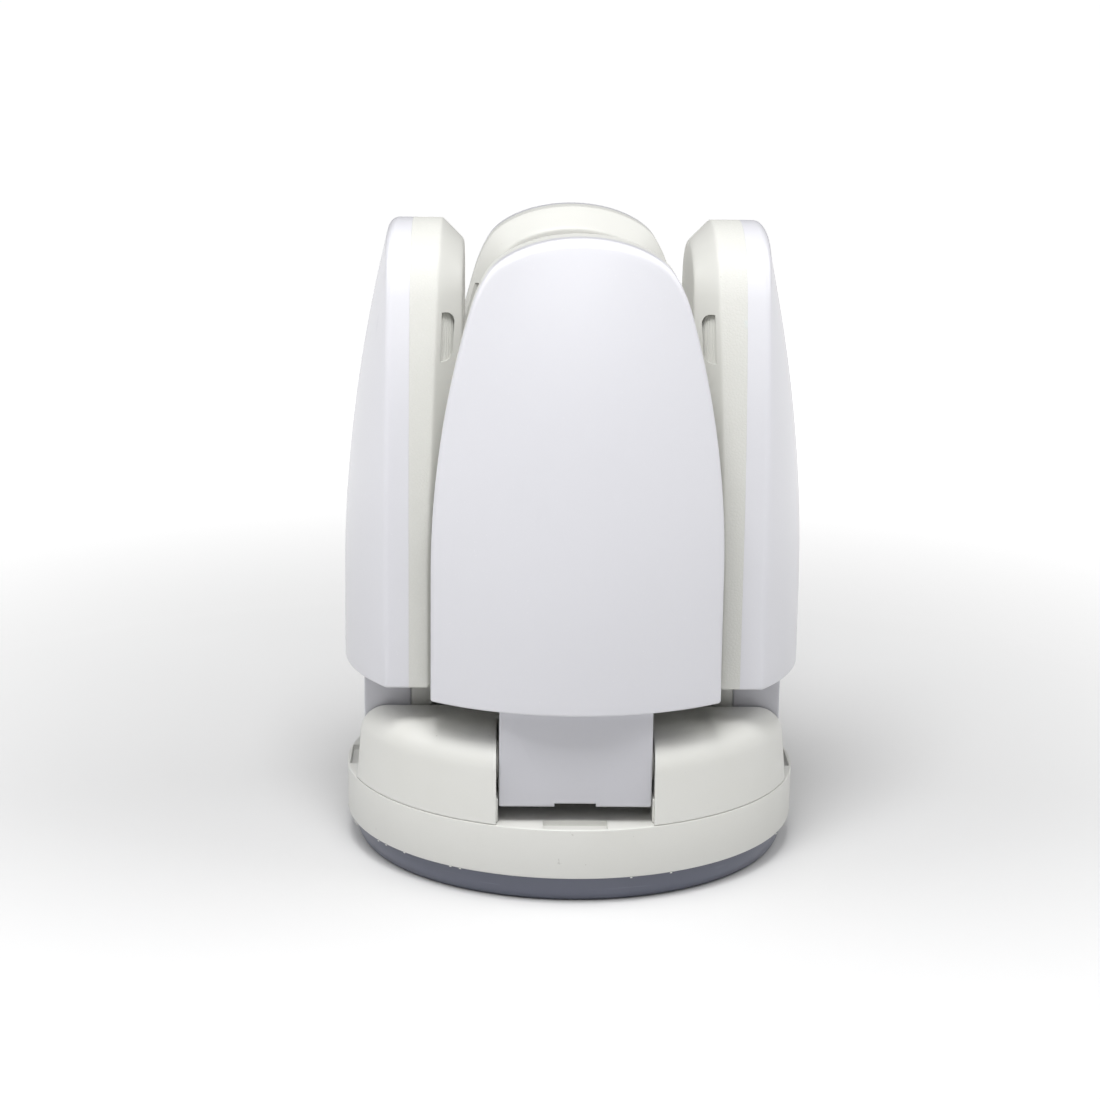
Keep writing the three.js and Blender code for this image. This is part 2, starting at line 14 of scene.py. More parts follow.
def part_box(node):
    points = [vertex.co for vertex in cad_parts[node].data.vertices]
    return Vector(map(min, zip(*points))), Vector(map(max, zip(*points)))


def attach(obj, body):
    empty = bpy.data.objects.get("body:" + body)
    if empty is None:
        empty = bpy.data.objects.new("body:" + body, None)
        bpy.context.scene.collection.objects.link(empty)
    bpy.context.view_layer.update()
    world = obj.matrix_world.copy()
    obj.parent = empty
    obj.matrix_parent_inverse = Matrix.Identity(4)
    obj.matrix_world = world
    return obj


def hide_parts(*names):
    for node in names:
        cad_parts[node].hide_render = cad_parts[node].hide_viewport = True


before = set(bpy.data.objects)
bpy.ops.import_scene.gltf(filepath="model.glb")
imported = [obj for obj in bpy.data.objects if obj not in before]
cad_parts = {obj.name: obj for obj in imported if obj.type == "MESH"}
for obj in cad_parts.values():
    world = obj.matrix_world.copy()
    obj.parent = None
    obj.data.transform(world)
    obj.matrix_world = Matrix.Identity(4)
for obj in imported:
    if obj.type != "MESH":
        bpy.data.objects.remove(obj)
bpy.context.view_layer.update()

MM = 0.001
SMOOTH_ANGLE = math.radians(32)
LOG = logging.getLogger("lamp")

Colour = tuple[float, float, float]
Points = np.ndarray


# ---------------------------------------------------------------- mesh making


def new_object(name: str, mesh: bpy.types.Mesh) -> bpy.types.Object:
    """Put a mesh into the scene.

    Args:
        name: the piece's name.
        mesh: its mesh, already in place.

    Returns:
        The new object, at the origin.
    """
    made = bpy.data.objects.new(name, mesh)
    bpy.context.scene.collection.objects.link(made)
    return made


def finish_mesh(mesh: bpy.types.Mesh, weld: float = 1e-6) -> bpy.types.Mesh:
    """Weld doubles, point the faces outwards and shade smooth between sharp edges.

    Args:
        mesh: the mesh to finish in place.
        weld: the distance under which vertices are one.

    Returns:
        The same mesh.
    """
    work = bmesh.new()
    work.from_mesh(mesh)
    bmesh.ops.remove_doubles(work, verts=work.verts, dist=weld)
    bmesh.ops.dissolve_degenerate(work, edges=work.edges, dist=weld)
    bmesh.ops.recalc_face_normals(work, faces=work.faces)
    work.to_mesh(mesh)
    work.free()
    mesh.shade_smooth()
    mesh.set_sharp_from_angle(angle=SMOOTH_ANGLE)
    return mesh


def ring_loft(name: str, rings: Sequence[Points], cap: bool = False, loop: bool = False) -> bpy.types.Mesh:
    """Skin a list of matching closed rings.

    Args:
        name: the mesh's name.
        rings: arrays of N points, each ring closed on itself.
        cap: fill the first and last ring with a flat face.
        loop: join the last ring to the first.

    Returns:
        The finished mesh. A ring that has collapsed to a point or a line is welded shut.
    """
    count = len(rings[0])
    around = np.arange(count)
    after = (around + 1) % count
    faces: list[list[int]] = []
    pairs = list(zip(range(len(rings) - 1), range(1, len(rings))))
    if loop:
        pairs.append((len(rings) - 1, 0))
    for low, high in pairs:
        near, far = low * count, high * count
        quads = np.stack([near + around, near + after, far + after, far + around], 1)
        faces.extend(quads.tolist())
    if cap:
        faces.append(around[::-1].tolist())
        faces.append(((len(rings) - 1) * count + around).tolist())
    mesh = bpy.data.meshes.new(name)
    mesh.from_pydata(np.concatenate(rings).tolist(), [], faces)
    return finish_mesh(mesh)


def on_circle(radius: float | Points, angle: Points, height: float | Points) -> Points:
    """Points round the Z axis.

    Args:
        radius: one radius, or one for each angle.
        angle: the angles in radians.
        height: one height, or one for each angle.

    Returns:
        One row of three for each angle.
    """
    return np.stack([radius * np.cos(angle), radius * np.sin(angle), height * np.ones(len(angle))], 1)


def about_z(angle: Points) -> Points:
    """Euler angles that turn each copy about Z by its own angle."""
    return np.stack([0 * angle, 0 * angle, angle], 1)


def lathe(name: str, profile: Sequence[tuple[float, float]], sides: int = 160) -> bpy.types.Mesh:
    """Turn a closed profile about Z.

    Args:
        name: the mesh's name.
        profile: radius and height pairs, ending on the axis or closing on itself.
        sides: how many steps go round.

    Returns:
        The finished mesh.
    """
    angle = np.linspace(0, 2 * math.pi, sides, endpoint=False)
    rings = [on_circle(radius, angle, height) for radius, height in profile]
    on_axis = profile[0][0] == 0 and profile[-1][0] == 0
    return ring_loft(name, rings, loop=not on_axis)


def arc(centre: tuple[float, float], radius: float, start: float, end: float,
        steps: int = 6) -> list[tuple[float, float]]:
    """Points on an arc, for a profile.

    Args:
        centre: the arc's centre.
        radius: its radius.
        start: the first angle in degrees.
        end: the last angle in degrees.
        steps: how many segments it has.

    Returns:
        The points, both ends included.
    """
    turns = np.radians(np.linspace(start, end, steps + 1))
    return [(centre[0] + radius * math.cos(t), centre[1] + radius * math.sin(t)) for t in turns]


def rounded_block(low: Sequence[float], high: Sequence[float], radius: float,
                  steps: int = 3) -> bpy.types.Mesh:
    """A block with rounded edges.

    Args:
        low: its lowest corner.
        high: its highest corner.
        radius: the rounding of every edge, or 0.
        steps: segments in each rounding.

    Returns:
        The mesh.
    """
    size = Vector(high) - Vector(low)
    middle = (Vector(high) + Vector(low)) / 2
    work = bmesh.new()
    bmesh.ops.create_cube(work, size=1, matrix=Matrix.Translation(middle) @ Matrix.Diagonal((*size, 1)))
    if radius > 0:
        bmesh.ops.bevel(work, geom=work.edges[:], offset=radius, segments=steps, profile=0.5, affect="EDGES")
    mesh = bpy.data.meshes.new("block")
    work.to_mesh(mesh)
    work.free()
    return mesh


def rod(radius: float, start: Sequence[float], end: Sequence[float], sides: int = 40) -> bpy.types.Mesh:
    """A plain round bar between two points.

    Args:
        radius: its radius.
        start: one end.
        end: the other end.
        sides: how many sides it has.

    Returns:
        The mesh.
    """
    along = Vector(end) - Vector(start)
    turn = along.to_track_quat("Z", "Y").to_matrix().to_4x4()
    place = Matrix.Translation((Vector(start) + Vector(end)) / 2) @ turn
    work = bmesh.new()
    bmesh.ops.create_cone(work, cap_ends=True, segments=sides, radius1=radius, radius2=radius,
                          depth=along.length, matrix=place)
    mesh = bpy.data.meshes.new("rod")
    work.to_mesh(mesh)
    work.free()
    return mesh


class Cut(Enum):
    """What a boolean does with its tool."""

    JOIN = "UNION"
    TAKE = "DIFFERENCE"


def carve(mesh: bpy.types.Mesh, steps: Iterable[tuple[Cut, bpy.types.Mesh]]) -> bpy.types.Mesh:
    """Join tools to a mesh or cut them out of it, one after another.

    Args:
        mesh: the mesh to start from.
        steps: what to do, and with which closed mesh.

    Returns:
        A new finished mesh. The tools are removed.
    """
    target = new_object("carved", mesh)
    for kind, tool_mesh in steps:
        tool = new_object("tool", tool_mesh)
        modifier = target.modifiers.new("carve", "BOOLEAN")
        modifier.operation = kind.value
        modifier.solver = "EXACT"
        modifier.object = tool
        depsgraph = bpy.context.evaluated_depsgraph_get()
        result = bpy.data.meshes.new_from_object(target.evaluated_get(depsgraph))
        target.modifiers.remove(modifier)
        target.data = result
        bpy.data.objects.remove(tool)
    made = target.data
    bpy.data.objects.remove(target)
    return finish_mesh(made, 2e-6)


def join_meshes(meshes: Sequence[bpy.types.Mesh]) -> bpy.types.Mesh:
    """Put several meshes into one, without merging them.

    Args:
        meshes: the meshes.

    Returns:
        One mesh.
    """
    work = bmesh.new()
    for mesh in meshes:
        work.from_mesh(mesh)
    made = bpy.data.meshes.new("joined")
    work.to_mesh(made)
    work.free()
    return finish_mesh(made)


def place_attribute(mesh: bpy.types.Mesh, name: str, values: Points) -> None:
    """Store a number or a vector on every vertex.

    Args:
        mesh: the mesh.
        name: the attribute's name.
        values: one number or one row of three for each vertex.
    """
    kind, key = ("FLOAT_VECTOR", "vector") if values.ndim == 2 else ("FLOAT", "value")
    layer = mesh.attributes.new(name, kind, "POINT")
    layer.data.foreach_set(key, np.ascontiguousarray(values, dtype=np.float32).ravel())


def vertices(mesh: bpy.types.Mesh) -> Points:
    """Every vertex of a mesh as a row of an array."""
    flat = np.empty(len(mesh.vertices) * 3, dtype=np.float32)
    mesh.vertices.foreach_get("co", flat)
    return flat.reshape(-1, 3).astype(float)


# ---------------------------------------------------------------- shader graphs


Number = Union[float, "Value"]


class Value:
    """A number that varies over a surface, with ordinary maths on it."""

    def __init__(self, graph: "Graph", socket: bpy.types.NodeSocket) -> None:
        """Wrap an output socket of a graph."""
        self.graph = graph
        self.socket = socket

    def __add__(self, other: Number) -> "Value":
        """Sum."""
        return self.graph.maths("ADD", self, other)

    __radd__ = __add__

    def __sub__(self, other: Number) -> "Value":
        """Difference."""
        return self.graph.maths("SUBTRACT", self, other)

    def __rsub__(self, other: Number) -> "Value":
        """Difference, with this value taken away."""
        return self.graph.maths("SUBTRACT", other, self)

    def __mul__(self, other: Number) -> "Value":
        """Product."""
        return self.graph.maths("MULTIPLY", self, other)

    __rmul__ = __mul__

    def ramp(self, low: float, high: float) -> "Value":
        """Smoothly from 0 at low to 1 at high."""
        node = self.graph.node("ShaderNodeMapRange", {"interpolation_type": "SMOOTHSTEP"},
                               {0: self, 1: low, 2: high, 3: 0.0, 4: 1.0})
        return Value(self.graph, node.outputs[0])


class Graph:
    """The node graph of one material."""

    def __init__(self, name: str) -> None:
        """Make an empty material with an output."""
        self.material = bpy.data.materials.new(name)
        self.material.use_nodes = True
        self.tree = self.material.node_tree
        self.tree.nodes.clear()

    def node(self, kind: str, settings: dict[str, Any] | None = None,
             inputs: dict[Any, Any] | None = None) -> bpy.types.Node:
        """Add a node.

        Args:
            kind: the node's type.
            settings: its own settings, set first.
            inputs: socket name or number to a constant, a Value or a socket.

        Returns:
            The node.
        """
        made = self.tree.nodes.new(kind)
        for key, setting in (settings or {}).items():
            setattr(made, key, setting)
        for key, given in (inputs or {}).items():
            socket = made.inputs[key]
            if isinstance(given, Value):
                self.tree.links.new(given.socket, socket)
            elif isinstance(given, bpy.types.NodeSocket):
                self.tree.links.new(given, socket)
            elif isinstance(given, tuple) and len(given) == 3 and socket.type == "RGBA":
                socket.default_value = (*given, 1.0)
            else:
                socket.default_value = given
        return made

    def maths(self, operation: str, *values: Number) -> Value:
        """A Math node on up to three values."""
        node = self.node("ShaderNodeMath", {"operation": operation}, dict(enumerate(values)))
        return Value(self, node.outputs[0])

    def position(self) -> bpy.types.NodeSocket:
        """The point on the object, in metres."""
        return self.node("ShaderNodeTexCoord").outputs["Object"]

    def attribute(self, name: str) -> bpy.types.Node:
        """A stored attribute's node."""
        return self.node("ShaderNodeAttribute", {"attribute_name": name})

    def stretched(self, vector: bpy.types.NodeSocket, scale: Colour,
                  offset: Colour = (0, 0, 0)) -> bpy.types.NodeSocket:
        """A vector scaled and moved."""
        inputs = {"Vector": vector, "Location": offset, "Scale": scale}
        return self.node("ShaderNodeMapping", {}, inputs).outputs[0]

    def noise(self, vector: bpy.types.NodeSocket, scale: float, detail: float = 3.0,
              rough: float = 0.55) -> Value:
        """Noise from 0 to 1 with that many cells per metre."""
        node = self.node("ShaderNodeTexNoise", {}, {"Vector": vector, "Scale": scale, "Detail": detail,
                                                    "Roughness": rough})
        return Value(self, node.outputs[0])

    def cells(self, vector: bpy.types.NodeSocket, scale: float) -> Value:
        """Distance to the edge of a cell, with that many cells per metre."""
        node = self.node("ShaderNodeTexVoronoi", {"feature": "DISTANCE_TO_EDGE"},
                         {"Vector": vector, "Scale": scale})
        return Value(self, node.outputs["Distance"])

    def blend(self, factor: Number, first: Any, second: Any) -> bpy.types.NodeSocket:
        """Mix two colours."""
        node = self.node("ShaderNodeMix", {"data_type": "RGBA"}, {0: factor, 6: first, 7: second})
        return node.outputs[2]

    def bump(self, height: Value, strength: float, distance: float) -> bpy.types.NodeSocket:
        """A normal from a height in metres of distance."""
        return self.node("ShaderNodeBump", {}, {"Height": height, "Strength": strength,
                                                "Distance": distance}).outputs[0]

    def surface(self, **sockets: Any) -> bpy.types.Material:
        """Close the graph with a Principled shader.

        Args:
            **sockets: its inputs, with _ for spaces.

        Returns:
            The material.
        """
        inputs = {key.replace("_", " "): given for key, given in sockets.items()}
        shader = self.node("ShaderNodeBsdfPrincipled", {}, inputs)
        self.node("ShaderNodeOutputMaterial", {}, {"Surface": shader.outputs[0]})
        return self.material


# ---------------------------------------------------------------- finishes


@dataclass(frozen=True)
class OpalPlastic:
    """Satin opal plastic of the panels' covers, with faint rubbed streaks and dust, and painted shade on the
    neck below the panel.
    """

    slot: str = "opal_pc"
    colour: Colour = (0.63, 0.63, 0.664)
    rubbed: Colour = (0.61, 0.61, 0.645)
    # hollow is a painted shade colour: the darker tint that the neck gets below neck_top.
    hollow: Colour = (0.545, 0.545, 0.58)
    neck_top: float = 0.0535
    roughness: float = 0.30

    def material(self) -> bpy.types.Material:
        """Build the material."""
        graph = Graph("opal plastic")
        here = graph.position()
        cloud = graph.noise(here, 14.0, 2.0)
        streak = graph.noise(graph.stretched(here, (420.0, 420.0, 26.0)), 1.0, 2.0)
        patch = graph.noise(here, 38.0, 2.0).ramp(0.56, 0.72)
        scuffs = streak.ramp(0.60, 0.74) * patch
        dust = graph.noise(here, 2600.0, 1.0).ramp(0.74, 0.80)
        tint = graph.blend(cloud.ramp(0.35, 0.75) * 0.35 + scuffs * 0.35, self.colour, self.rubbed)
        tint = graph.blend(dust * 0.35, tint, (0.86, 0.86, 0.88))
        height = Value(graph, graph.node("ShaderNodeSeparateXYZ", {}, {0: here}).outputs[2])
        # Painted shade: below neck_top the cover takes the darker hollow colour, standing in for the shade
        # on the neck under the panel's bulge.
        tint = graph.blend(1 - height.ramp(self.neck_top - 0.004, self.neck_top), tint, self.hollow)
        rough = self.roughness + (cloud - 0.5) * 0.08 + scuffs * 0.18
        normal = graph.bump(graph.noise(here, 900.0, 3.0), 0.05, 0.00012)
        return graph.surface(Base_Color=tint, Roughness=rough, Normal=normal, IOR=1.5, Coat_Weight=0.12,
                             Coat_Roughness=0.15)


@dataclass(frozen=True)
class CreamPlastic:
    """Matt cream plastic. Where a piece stores "grain" it has a wrinkled leather grain, with painted shade
    in its creases.
    """

    slot: str = "cream_abs"
    name: str = "cream plastic"
    colour: Colour = (0.70, 0.70, 0.67)
    worn: Colour = (0.65, 0.648, 0.605)
    roughness: float = 0.42
    smudged: bool = False

    def material(self) -> bpy.types.Material:
        """Build the material."""
        graph = Graph(self.name)
        here = graph.position()
        grain = Value(graph, graph.attribute("grain").outputs["Fac"])
        wrinkle = graph.cells(here, 1150.0).ramp(0.0, 0.30)
        fine = graph.noise(here, 1900.0, 4.0)
        satin = graph.noise(here, 3800.0, 2.0)
        cloud = graph.noise(here, 22.0, 3.0)
        nick = graph.noise(here, 620.0, 2.0).ramp(0.745, 0.79)
        tint = graph.blend(cloud.ramp(0.35, 0.8) * 0.4, self.colour, self.worn)
        # Painted shade: the grain's crease lines, where the bump is lowest, are tinted darker.
        tint = graph.blend((1 - wrinkle) * grain * 0.08, tint, (0.44, 0.45, 0.41))
        tint = graph.blend(nick * 0.5, tint, (0.47, 0.46, 0.43))
        if self.smudged:
            smudge = graph.noise(graph.stretched(here, (90.0, 260.0, 46.0), (0.3, 0.0, 0.7)), 1.0, 3.0)
            tint = graph.blend(smudge.ramp(0.66, 0.76) * 0.45, tint, (0.52, 0.66, 0.70))
        rough = self.roughness + (cloud - 0.5) * 0.16 + grain * 0.10
        height = (wrinkle * 0.7 + fine * 0.5) * grain + satin * (1 - grain) * 0.10
        normal = graph.bump(height, 0.28, 0.00014)
        return graph.surface(Base_Color=tint, Roughness=rough, Normal=normal, IOR=1.48)


@dataclass(frozen=True)
class SmokedPlastic:
    """Blue-grey tinted plastic of the lens in the base."""

    slot: str = "smoked_lens"
    colour: Colour = (0.138, 0.148, 0.195)
    roughness: float = 0.36

    def material(self) -> bpy.types.Material:
        """Build the material."""
        graph = Graph("smoked plastic")
        here = graph.position()
        cloud = graph.noise(here, 30.0, 3.0)
        rub = graph.noise(graph.stretched(here, (60.0, 60.0, 900.0)), 1.0, 3.0).ramp(0.6, 0.75)
        tint = graph.blend(cloud * 0.4, self.colour, (0.18, 0.19, 0.24))
        tint = graph.blend(rub * 0.18, tint, (0.30, 0.32, 0.37))
        normal = graph.bump(graph.noise(here, 1600.0, 2.0), 0.06, 0.00012)
        return graph.surface(Base_Color=tint, Roughness=self.roughness + rub * 0.12, Normal=normal, IOR=1.5)


@dataclass(frozen=True)
class Metal:
    """A metal with fine machining marks and uneven shine."""

    slot: str
    name: str
    colour: Colour
    dull: Colour
    roughness: float
    marks: Colour = (40.0, 40.0, 2600.0)

    def material(self) -> bpy.types.Material:
        """Build the material."""
        graph = Graph(self.name)
        here = graph.position()
        lines = graph.noise(graph.stretched(here, self.marks), 1.0, 3.0)
        cloud = graph.noise(here, 90.0, 4.0)
        tint = graph.blend(cloud.ramp(0.45, 0.8) * 0.7, self.colour, self.dull)
        rough = self.roughness + (lines - 0.5) * 0.12 + cloud.ramp(0.4, 0.8) * 0.10
        normal = graph.bump(lines, 0.10, 0.00006)
        return graph.surface(Base_Color=tint, Roughness=rough, Metallic=1.0, Normal=normal)


@dataclass(frozen=True)
class Plastic:
    """A plain moulded plastic or coated board with a fine texture."""

    slot: str
    name: str
    colour: Colour
    worn: Colour
    roughness: float
    texture: float = 1500.0

    def material(self) -> bpy.types.Material:
        """Build the material."""
        graph = Graph(self.name)
        here = graph.position()
        cloud = graph.noise(here, 60.0, 3.0)
        speck = graph.noise(here, self.texture, 2.0)
        tint = graph.blend(cloud.ramp(0.4, 0.8) * 0.6, self.colour, self.worn)
        rough = self.roughness + (speck - 0.5) * 0.15
        normal = graph.bump(speck, 0.12, 0.0001)
        return graph.surface(Base_Color=tint, Roughness=rough, Normal=normal)


SHELL_COLOUR: Colour = (0.60, 0.60, 0.572)
SHELL_WORN: Colour = (0.56, 0.56, 0.528)


class Look(Enum):
    """Every finish on the lamp."""

    OPAL = OpalPlastic()
    CREAM = CreamPlastic()
    SHELL = CreamPlastic(name="shell plastic", colour=SHELL_COLOUR, worn=SHELL_WORN)
    SHELL_MARKED = CreamPlastic(name="shell plastic marked", colour=SHELL_COLOUR, worn=SHELL_WORN,
                                smudged=True)
    SMOKED = SmokedPlastic()
    ALUMINIUM = Metal("aluminium", "rolled aluminium", (0.72, 0.73, 0.75), (0.60, 0.61, 0.63), 0.38)
    NICKEL = Metal("nickel", "nickel plate", (0.66, 0.63, 0.57), (0.50, 0.47, 0.41), 0.24)
    BRASS = Metal("brass", "brass contact", (0.72, 0.52, 0.22), (0.48, 0.34, 0.16), 0.28)
    STEEL = Metal("steel", "zinc steel", (0.58, 0.59, 0.60), (0.44, 0.44, 0.44), 0.32)
    BOARD_WHITE = Plastic("board_white", "white board", (0.84, 0.85, 0.83), (0.78, 0.79, 0.77), 0.38)
    BOARD_GREEN = Plastic("board_green", "green board", (0.04, 0.17, 0.085), (0.03, 0.12, 0.06), 0.40)
    INSULATOR = Plastic("black_insulator", "black glass", (0.012, 0.012, 0.014), (0.02, 0.02, 0.02), 0.16,
                        400.0)
    NYLON = Plastic("nylon", "natural nylon", (0.74, 0.73, 0.68), (0.68, 0.67, 0.61), 0.45)
    DARK = Plastic("dark_plastic", "dark plastic", (0.022, 0.022, 0.026), (0.05, 0.05, 0.055), 0.42)
    PHOSPHOR = Plastic("board_white", "phosphor", (0.86, 0.70, 0.22), (0.80, 0.62, 0.18), 0.35)

    @property
    def slot(self) -> str:
        """The record's material slot for this finish."""
        return self.value.slot

    def material(self) -> bpy.types.Material:
        """The finish's material, built once."""
        if self not in _MATERIALS:
            _MATERIALS[self] = self.value.material()
        return _MATERIALS[self]


_MATERIALS: dict[Look, bpy.types.Material] = {}


def place_piece(name: str, mesh: bpy.types.Mesh, look: Look, body: str, *nodes: str) -> bpy.types.Object:
    """Finish a piece and hang it on its body.

    Args:
        name: the piece's name.
        mesh: its mesh, in place.
        look: its finish.
        body: the body that it moves with.
        *nodes: the CAD nodes that it stands for.

    Returns:
        The piece.
    """
    mesh.materials.clear()
    mesh.materials.append(look.material())
    piece = new_object(name, mesh)
    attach(piece, body)
    look.slot
    if nodes:
        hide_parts(*nodes)
    LOG.info("%s on %s, %d faces", name, body, len(mesh.polygons))
    return piece


def dress_node(node: str, look: Look) -> None:
    """Give a CAD node that stays its material.

    Args:
        node: the node's name.
        look: its finish.
    """
    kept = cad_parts[node]
    if not kept.material_slots:
        kept.data.materials.append(None)
    for held in kept.material_slots:
        held.link = "OBJECT"
        held.material = look.material()
    LOG.info("%s dressed", node)


# ---------------------------------------------------------------- repeats by geometry nodes


class NodeTree:
    """A Geometry Nodes tree with named inputs."""

    def __init__(self, name: str) -> None:
        """Make a tree with a geometry output."""
        self.tree = bpy.data.node_groups.new(name, "GeometryNodeTree")
        self.tree.interface.new_socket("Geometry", in_out="INPUT", socket_type="NodeSocketGeometry")
        self.tree.interface.new_socket("Geometry", in_out="OUTPUT", socket_type="NodeSocketGeometry")
        self.entry = self.tree.nodes.new("NodeGroupInput")
        self.exit = self.tree.nodes.new("NodeGroupOutput")
        self.identifiers: dict[str, str] = {}

    def add_input(self, name: str, kind: str) -> None:
        """Declare a named input of a socket type."""
        socket = self.tree.interface.new_socket(name, in_out="INPUT", socket_type=kind)
        self.identifiers[name] = socket.identifier

    def node(self, kind: str, settings: dict[str, Any] | None = None,
             inputs: dict[Any, Any] | None = None) -> bpy.types.Node:
        """Add a node with its settings and inputs."""
        made = self.tree.nodes.new(kind)
        for key, setting in (settings or {}).items():
            setattr(made, key, setting)
        for key, given in (inputs or {}).items():
            if isinstance(given, bpy.types.NodeSocket):
                self.tree.links.new(given, made.inputs[key])
            else:
                made.inputs[key].default_value = given
        return made

    def given(self, name: str) -> bpy.types.NodeSocket:
        """The named input inside the tree."""
        return self.entry.outputs[name]

    def close(self, instances: bpy.types.NodeSocket) -> None:
        """End the tree in Realize Instances and Set Material."""
        real = self.node("GeometryNodeRealizeInstances", {}, {0: instances})
        painted = self.node("GeometryNodeSetMaterial", {}, {"Geometry": real.outputs[0],
                                                            "Material": self.given("Material")})
        self.tree.links.new(painted.outputs[0], self.exit.inputs[0])

    def run(self, base: bpy.types.Mesh, inputs: dict[str, Any]) -> bpy.types.Mesh:
        """Evaluate the tree on a mesh.

        Args:
            base: the mesh that the modifier sits on.
            inputs: the named inputs' values.

        Returns:
            The result as a plain mesh.
        """
        carrier = new_object("carrier", base)
        modifier = carrier.modifiers.new("repeat", "NODES")
        modifier.node_group = self.tree
        for name, given in inputs.items():
            modifier[self.identifiers[name]] = given
        carrier.update_tag()
        depsgraph = bpy.context.evaluated_depsgraph_get()
        result = bpy.data.meshes.new_from_object(carrier.evaluated_get(depsgraph))
        carrier.modifiers.remove(modifier)
        bpy.data.objects.remove(carrier)
        return result


class Repeater:
    """Sets copies of one small shape on points, each turned by its point's Euler angles."""

    def __init__(self) -> None:
        """Build the tree."""
        self.nodes = NodeTree("set on points")
        self.nodes.add_input("Shape", "NodeSocketObject")
        self.nodes.add_input("Material", "NodeSocketMaterial")
        self.nodes.add_input("Scale", "NodeSocketFloat")
        source = self.nodes.node("GeometryNodeObjectInfo", {}, {"Object": self.nodes.given("Shape")})
        euler = self.nodes.node("GeometryNodeInputNamedAttribute", {"data_type": "FLOAT_VECTOR"},
                                {"Name": "turn"})
        turn = self.nodes.node("FunctionNodeEulerToRotation", {}, {"Euler": euler.outputs[0]})
        points = self.nodes.node("GeometryNodeMeshToPoints", {}, {"Mesh": self.nodes.entry.outputs[0]})
        copies = self.nodes.node("GeometryNodeInstanceOnPoints", {}, {
            "Points": points.outputs[0], "Instance": source.outputs["Geometry"], "Rotation": turn.outputs[0],
            "Scale": self.nodes.given("Scale")})
        self.nodes.close(copies.outputs[0])

    def spread(self, shape: bpy.types.Mesh, places: Points, turns: Points, look: Look) -> bpy.types.Mesh:
        """Set a shape on every place.

        Args:
            shape: the shape, standing on the origin along +Z.
            places: where the copies go.
            turns: one set of Euler angles for every copy, or one for each.
            look: the finish.

        Returns:
            One plain mesh of all the copies.
        """
        cloud = bpy.data.meshes.new("places")
        cloud.from_pydata(places.tolist(), [], [])
        place_attribute(cloud, "turn", np.broadcast_to(turns, (len(places), 3)))
        source = new_object("shape", shape)
        result = self.nodes.run(cloud, {"Shape": source, "Material": look.material(), "Scale": 1.0})
        bpy.data.objects.remove(source)
        result.shade_smooth()
        result.set_sharp_from_angle(angle=SMOOTH_ANGLE)
        return result


REPEATER = Repeater()
TURN_OUT = np.array([math.pi / 2, 0.0, 0.0])
TURN_IN = -TURN_OUT
TURN_DOWN = np.array([math.pi, 0.0, 0.0])


def screw_shape(head: float, height: float) -> bpy.types.Mesh:
    """A pan-head screw's head with a cross recess, standing on the origin.

    Args:
        head: the head's radius.
        height: the head's height.

    Returns:
        The mesh.
    """
    profile = [(0.0, 0.0), (head * 0.96, 0.0), (head, height * 0.12), (head, height * 0.45),
               *arc((head * 0.6, height * 0.45), head * 0.4, 0, 60, 4), (head * 0.45, height), (0.0, height)]
    body = lathe("screw head", profile, 28)
    slot = head * 0.16
    deep = (height * 0.45, height * 1.2)
    across = rounded_block((-head * 0.6, -slot, deep[0]), (head * 0.6, slot, deep[1]), 0)
    along = rounded_block((-slot, -head * 0.6, deep[0]), (slot, head * 0.6, deep[1]), 0)
    return carve(body, [(Cut.TAKE, across), (Cut.TAKE, along)])


SCREW_HEAD = 2.7 * MM
SCREW_HEIGHT = 1.5 * MM
SCREW_SHANK = 1.3 * MM


def screw_set(places: Points, turn: Points, tips: Points) -> bpy.types.Mesh:
    """A set of alike screws.

    Args:
        places: where the tops of the heads stand.
        turn: the Euler angles of the heads.
        tips: where the shanks end.

    Returns:
        One mesh of heads and shanks.
    """
    heads = REPEATER.spread(screw_shape(SCREW_HEAD, SCREW_HEIGHT), places, turn, Look.STEEL)
    shanks = [rod(SCREW_SHANK, place, tip, 20) for place, tip in zip(places.tolist(), tips.tolist())]
    return join_meshes([heads, *shanks])


def diode_set(places: Points, turn: Points) -> tuple[bpy.types.Mesh, bpy.types.Mesh]:
    """Light-emitting diodes on a board.

    Args:
        places: where they stand on the board.
        turn: the Euler angles of every one.

    Returns:
        Their frames, and their phosphor windows.
    """
    block = rounded_block((-1.4 * MM, -1.75 * MM, 0), (1.4 * MM, 1.75 * MM, 0.65 * MM), 0.12 * MM, 1)
    window = rounded_block((-1.05 * MM, -1.35 * MM, 0.6 * MM), (1.05 * MM, 1.35 * MM, 0.75 * MM), 0)
    return (REPEATER.spread(block, places, turn, Look.BOARD_WHITE),
            REPEATER.spread(window, places, turn, Look.PHOSPHOR))


# ---------------------------------------------------------------- the panels


class Side(Enum):
    """The four sides of the lamp, with the turn about Z from the front."""

    FRONT = 0
    RIGHT = 90
    BACK = 180
    LEFT = 270

    @property
    def label(self) -> str:
        """The side's name in node and body names."""
        return self.name.lower()

    @property
    def turn(self) -> Matrix:
        """The turn from the front to this side."""
        return Matrix.Rotation(math.radians(self.value), 4, "Z")


